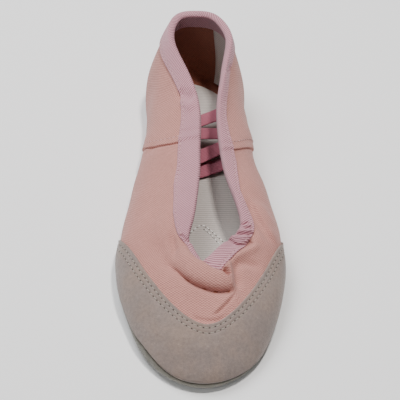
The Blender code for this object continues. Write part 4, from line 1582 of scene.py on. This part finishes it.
@dataclass
class Elastics:
    """Elastic bands that cross inside the shoe, slack between the walls."""

    bands: tuple[Band, ...] = (
        Band("elastic_1", 140.8, 0.40, 11.5),
        Band("elastic_2", 148.8, 0.55, 15.0),
        Band("elastic_3", 167.6, -0.06, 16.5),
        Band("elastic_4", 179.6, 0.45, 14.0),
    )
    width: float = 9.6
    thick: float = 0.9
    sag: float = 2.5
    cuts: int = 60
    cols: int = 14
    reach: float = 1.6

    def build(self, webbing: bpy.types.Material) -> list[bpy.types.Object]:
        """Each band as a thin closed strip with rounded edges, between its solid's two ends."""
        made = []
        for number, band in enumerate(self.bands, start=1):
            low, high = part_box(band.node)
            half_slant = abs(band.slant) * self.width / 2.0 / np.hypot(band.slant, 1.0)
            ends = np.array([low.x, high.x]) / MM + LAST.middle_x + np.array([half_slant, -half_slant])
            x = np.linspace(ends[0] - self.reach, ends[1] + self.reach, self.cuts + 1)
            place = (2.0 * x - ends[0] - ends[1]) / (ends[1] - ends[0])
            z = band.middle_z + self.sag * np.minimum(place**2, 1.0)
            line = np.stack([x, band.middle_t + band.slant * x, z], axis=1)
            across = np.array([-band.slant, 1.0, 0.0]) / np.hypot(band.slant, 1.0)
            w = np.sin(np.linspace(-np.pi / 2.0, np.pi / 2.0, self.cols + 1))
            grid = line[:, None, :] + across * (w * self.width / 2.0)[None, :, None]
            curl = 0.25 * np.sin(x / 6.0 + number)[:, None] * w[None, :]
            crown = round_up((1.0 - np.abs(w)) / 0.12)[None, :] * self.thick / 2.0
            piece = Pattern()
            places = np.stack(np.broadcast_arrays(x[:, None], w[None, :] * self.width / 2.0), axis=-1)
            up = np.array([0.0, 0.0, 1.0])
            middle = curl - self.thick / 2.0
            piece.shell(grid + up * (middle + crown)[..., None], grid + up * (middle - crown)[..., None], places)
            obj = piece.make(f"elastic_band_{number}", webbing)
            made.append(place_piece(obj, band.node))
        return made


@dataclass
class Facing:
    """Loose cotton facing at the right of the heel's inside, curling off the canvas."""

    first_u: float = 0.862
    last_u: float = 0.975
    low: float = 4.0
    high: float = 9.0
    thick: float = 0.5
    curl: float = 2.0
    cuts: int = 40
    cols: int = 24

    def build(self, cotton: bpy.types.Material) -> bpy.types.Object:
        """A thin closed strip inside the canvas, from above the insole to under the tape."""
        u = np.linspace(self.first_u, self.last_u, self.cols + 1)[:, None]
        share = np.linspace(0.0, 1.0, self.cuts + 1)[None, :]
        s = self.low + (LAST.lengths(u)[..., -1] - self.high - self.low) * share
        q = LAST.climb(u, s)
        rim = round_up((1.0 - np.abs(np.linspace(-1.0, 1.0, self.cols + 1))) / 0.2)[:, None]
        off = -CLOTH.canvas - 0.1 - self.curl * (1.0 - share)
        piece = Pattern()
        places = np.stack([np.broadcast_to(u * CLOTH.ring_mm, q.shape), s], axis=-1)
        piece.shell(CLOTH.layer(u, q, off), CLOTH.layer(u, q, off - 0.02 - self.thick * rim), places)
        return place_piece(piece.make("heel_facing", cotton), None)


@dataclass
class Studio:
    """Camera at the photograph's angle, a pale floor and soft lights."""

    azimuth: float = 1.071
    elevation: float = 46.115
    roll: float = -0.295
    focal_px: float = 1175.4
    frame_px: float = 400.0
    sensor: float = 36.0
    camera_mm: tuple[float, float, float] = (-29.75, -446.35, 476.39)
    turn: float = 3.45
    key_azimuth: float = 112.0
    key_elevation: float = 80.0

    def rotation(self) -> Matrix:
        """Camera axes from its azimuth, elevation and roll, turned to bring the slipper to the middle."""
        a, e, r = np.radians([self.azimuth, self.elevation, self.roll])
        back = np.array([np.sin(a) * np.cos(e), -np.cos(a) * np.cos(e), np.sin(e)])
        right = np.array([np.cos(a), np.sin(a), 0.0])
        up = np.cross(back, right)
        turned = np.stack([np.cos(r) * right + np.sin(r) * up, np.cos(r) * up - np.sin(r) * right, back])
        return Matrix(turned.T.tolist()).to_4x4() @ Matrix.Rotation(-np.radians(self.turn), 4, "Y")

    def camera(self) -> None:
        """Adds the camera."""
        data = bpy.data.cameras.new("camera")
        data.sensor_width = self.sensor
        data.lens = self.focal_px * self.sensor / self.frame_px
        data.clip_start = 0.01
        obj = bpy.data.objects.new("camera", data)
        obj.matrix_world = Matrix.Translation(Vector(self.camera_mm) * MM) @ self.rotation()
        bpy.context.scene.collection.objects.link(obj)
        bpy.context.scene.camera = obj

    def light(self, name: str, azimuth: float, elevation: float, distance: float, size: float,
              watts: float, tint: Colour) -> None:
        """Adds one square light aimed at the slipper.

        Args:
            name: Its name.
            azimuth: Its direction round the slipper, 0 in front of the toe, in degrees.
            elevation: Its height above the floor, in degrees.
            distance: How far away it is, in metres.
            size: Its side, in metres.
            watts: Its power.
            tint: Its colour.
        """
        a, e = np.radians([azimuth, elevation])
        way = Vector((np.sin(a) * np.cos(e), -np.cos(a) * np.cos(e), np.sin(e)))
        data = bpy.data.lights.new(name, "AREA")
        data.energy = watts
        data.size = size
        data.color = tint
        obj = bpy.data.objects.new(name, data)
        obj.matrix_world = Matrix.Translation(way * distance) @ way.to_track_quat("Z", "Y").to_matrix().to_4x4()
        bpy.context.scene.collection.objects.link(obj)

    def floor(self) -> None:
        """Adds the pale floor, a wide flat sheet just under the soles."""
        mesh = bpy.data.meshes.new("floor")
        half = 3.0
        corners = [(-half, -half, 0.0), (half, -half, 0.0), (half, half, 0.0), (-half, half, 0.0)]
        mesh.from_pydata(corners, [], [(0, 1, 2, 3)])
        bench = Bench("floor_paper")
        tone = bench.noise(60.0) * 0.02 + 0.92
        bench.feed(bench.shader.inputs["Base Color"], bench.shade((1.0, 1.0, 1.0), tone))
        bench.shader.inputs["Roughness"].default_value = 0.9
        mesh.materials.append(bench.material)
        obj = bpy.data.objects.new("floor", mesh)
        bpy.context.scene.collection.objects.link(obj)

    def build(self) -> None:
        """Camera, floor, lights and the pale surroundings."""
        self.camera()
        self.floor()
        self.light("key_light", self.key_azimuth, self.key_elevation, 1.3, 0.14, 13.0, (1.0, 0.97, 0.94))
        self.light("soft_back", -140.0, 60.0, 1.4, 0.8, 18.0, (0.97, 0.98, 1.0))
        self.light("soft_front", -40.0, 40.0, 1.5, 0.8, 4.0, (0.97, 0.98, 1.0))
        world = bpy.data.worlds.new("surroundings")
        world.use_nodes = True
        world.node_tree.nodes["Background"].inputs["Color"].default_value = (1.0, 1.0, 1.0, 1.0)
        world.node_tree.nodes["Background"].inputs["Strength"].default_value = 0.18
        bpy.context.scene.world = world


def sew_all(upper: Upper, cap: ToeCap, insole: Insole, binding: Binding) -> None:
    """Sews every visible row of stitches."""
    cream, pink, white = CREAM_THREAD.made(), PINK_THREAD.made(), WHITE_THREAD.made()
    # The needle holes' near-black beads are painted shade.
    hole = NEEDLE_HOLE_SHADE.made()
    Seam("toe_cap", hole=0.42).sew(cap.seam_rows(), cream, hole)
    Seam("side_seam", pitch=2.6, length=1.9, width=0.45, height=0.2, hole=0.22).sew(upper.seam_rows(), pink, hole)
    Seam("insole_arch", pitch=2.7, length=2.0, width=0.8, height=0.5, hole=0.36).sew(
        insole.seam_rows(), white, hole)
    Seam("collar", pitch=3.0, length=2.0, width=0.4, height=0.2, hole=0.22).sew(
        binding.seam_rows(), pink, hole)
    Seam("front_sole").sew(FRONT_SOLE.seam_rows(), cream, hole)
    Seam("heel_sole").sew(HEEL_SOLE.seam_rows(), cream, hole)


def main() -> None:
    """Builds the slipper's pieces in order."""
    logging.basicConfig(level=logging.INFO, format="%(message)s")
    Studio().build()
    cotton = COTTON.made()
    upper, cap, insole, binding = Upper(), ToeCap(), Insole(), Binding()
    upper.build(CANVAS.made(), LINING_PAINTED_SHADE.made())
    cap.build(CAP_SUEDE.made())
    sole_suede = SOLE_SUEDE.made()
    FRONT_SOLE.build(sole_suede)
    HEEL_SOLE.build(sole_suede)
    insole.build(cotton)
    binding.build(TAPE.made())
    Elastics().build(ELASTIC.made())
    Facing().build(cotton)
    sew_all(upper, cap, insole, binding)


if __name__ == "__main__":
    main()
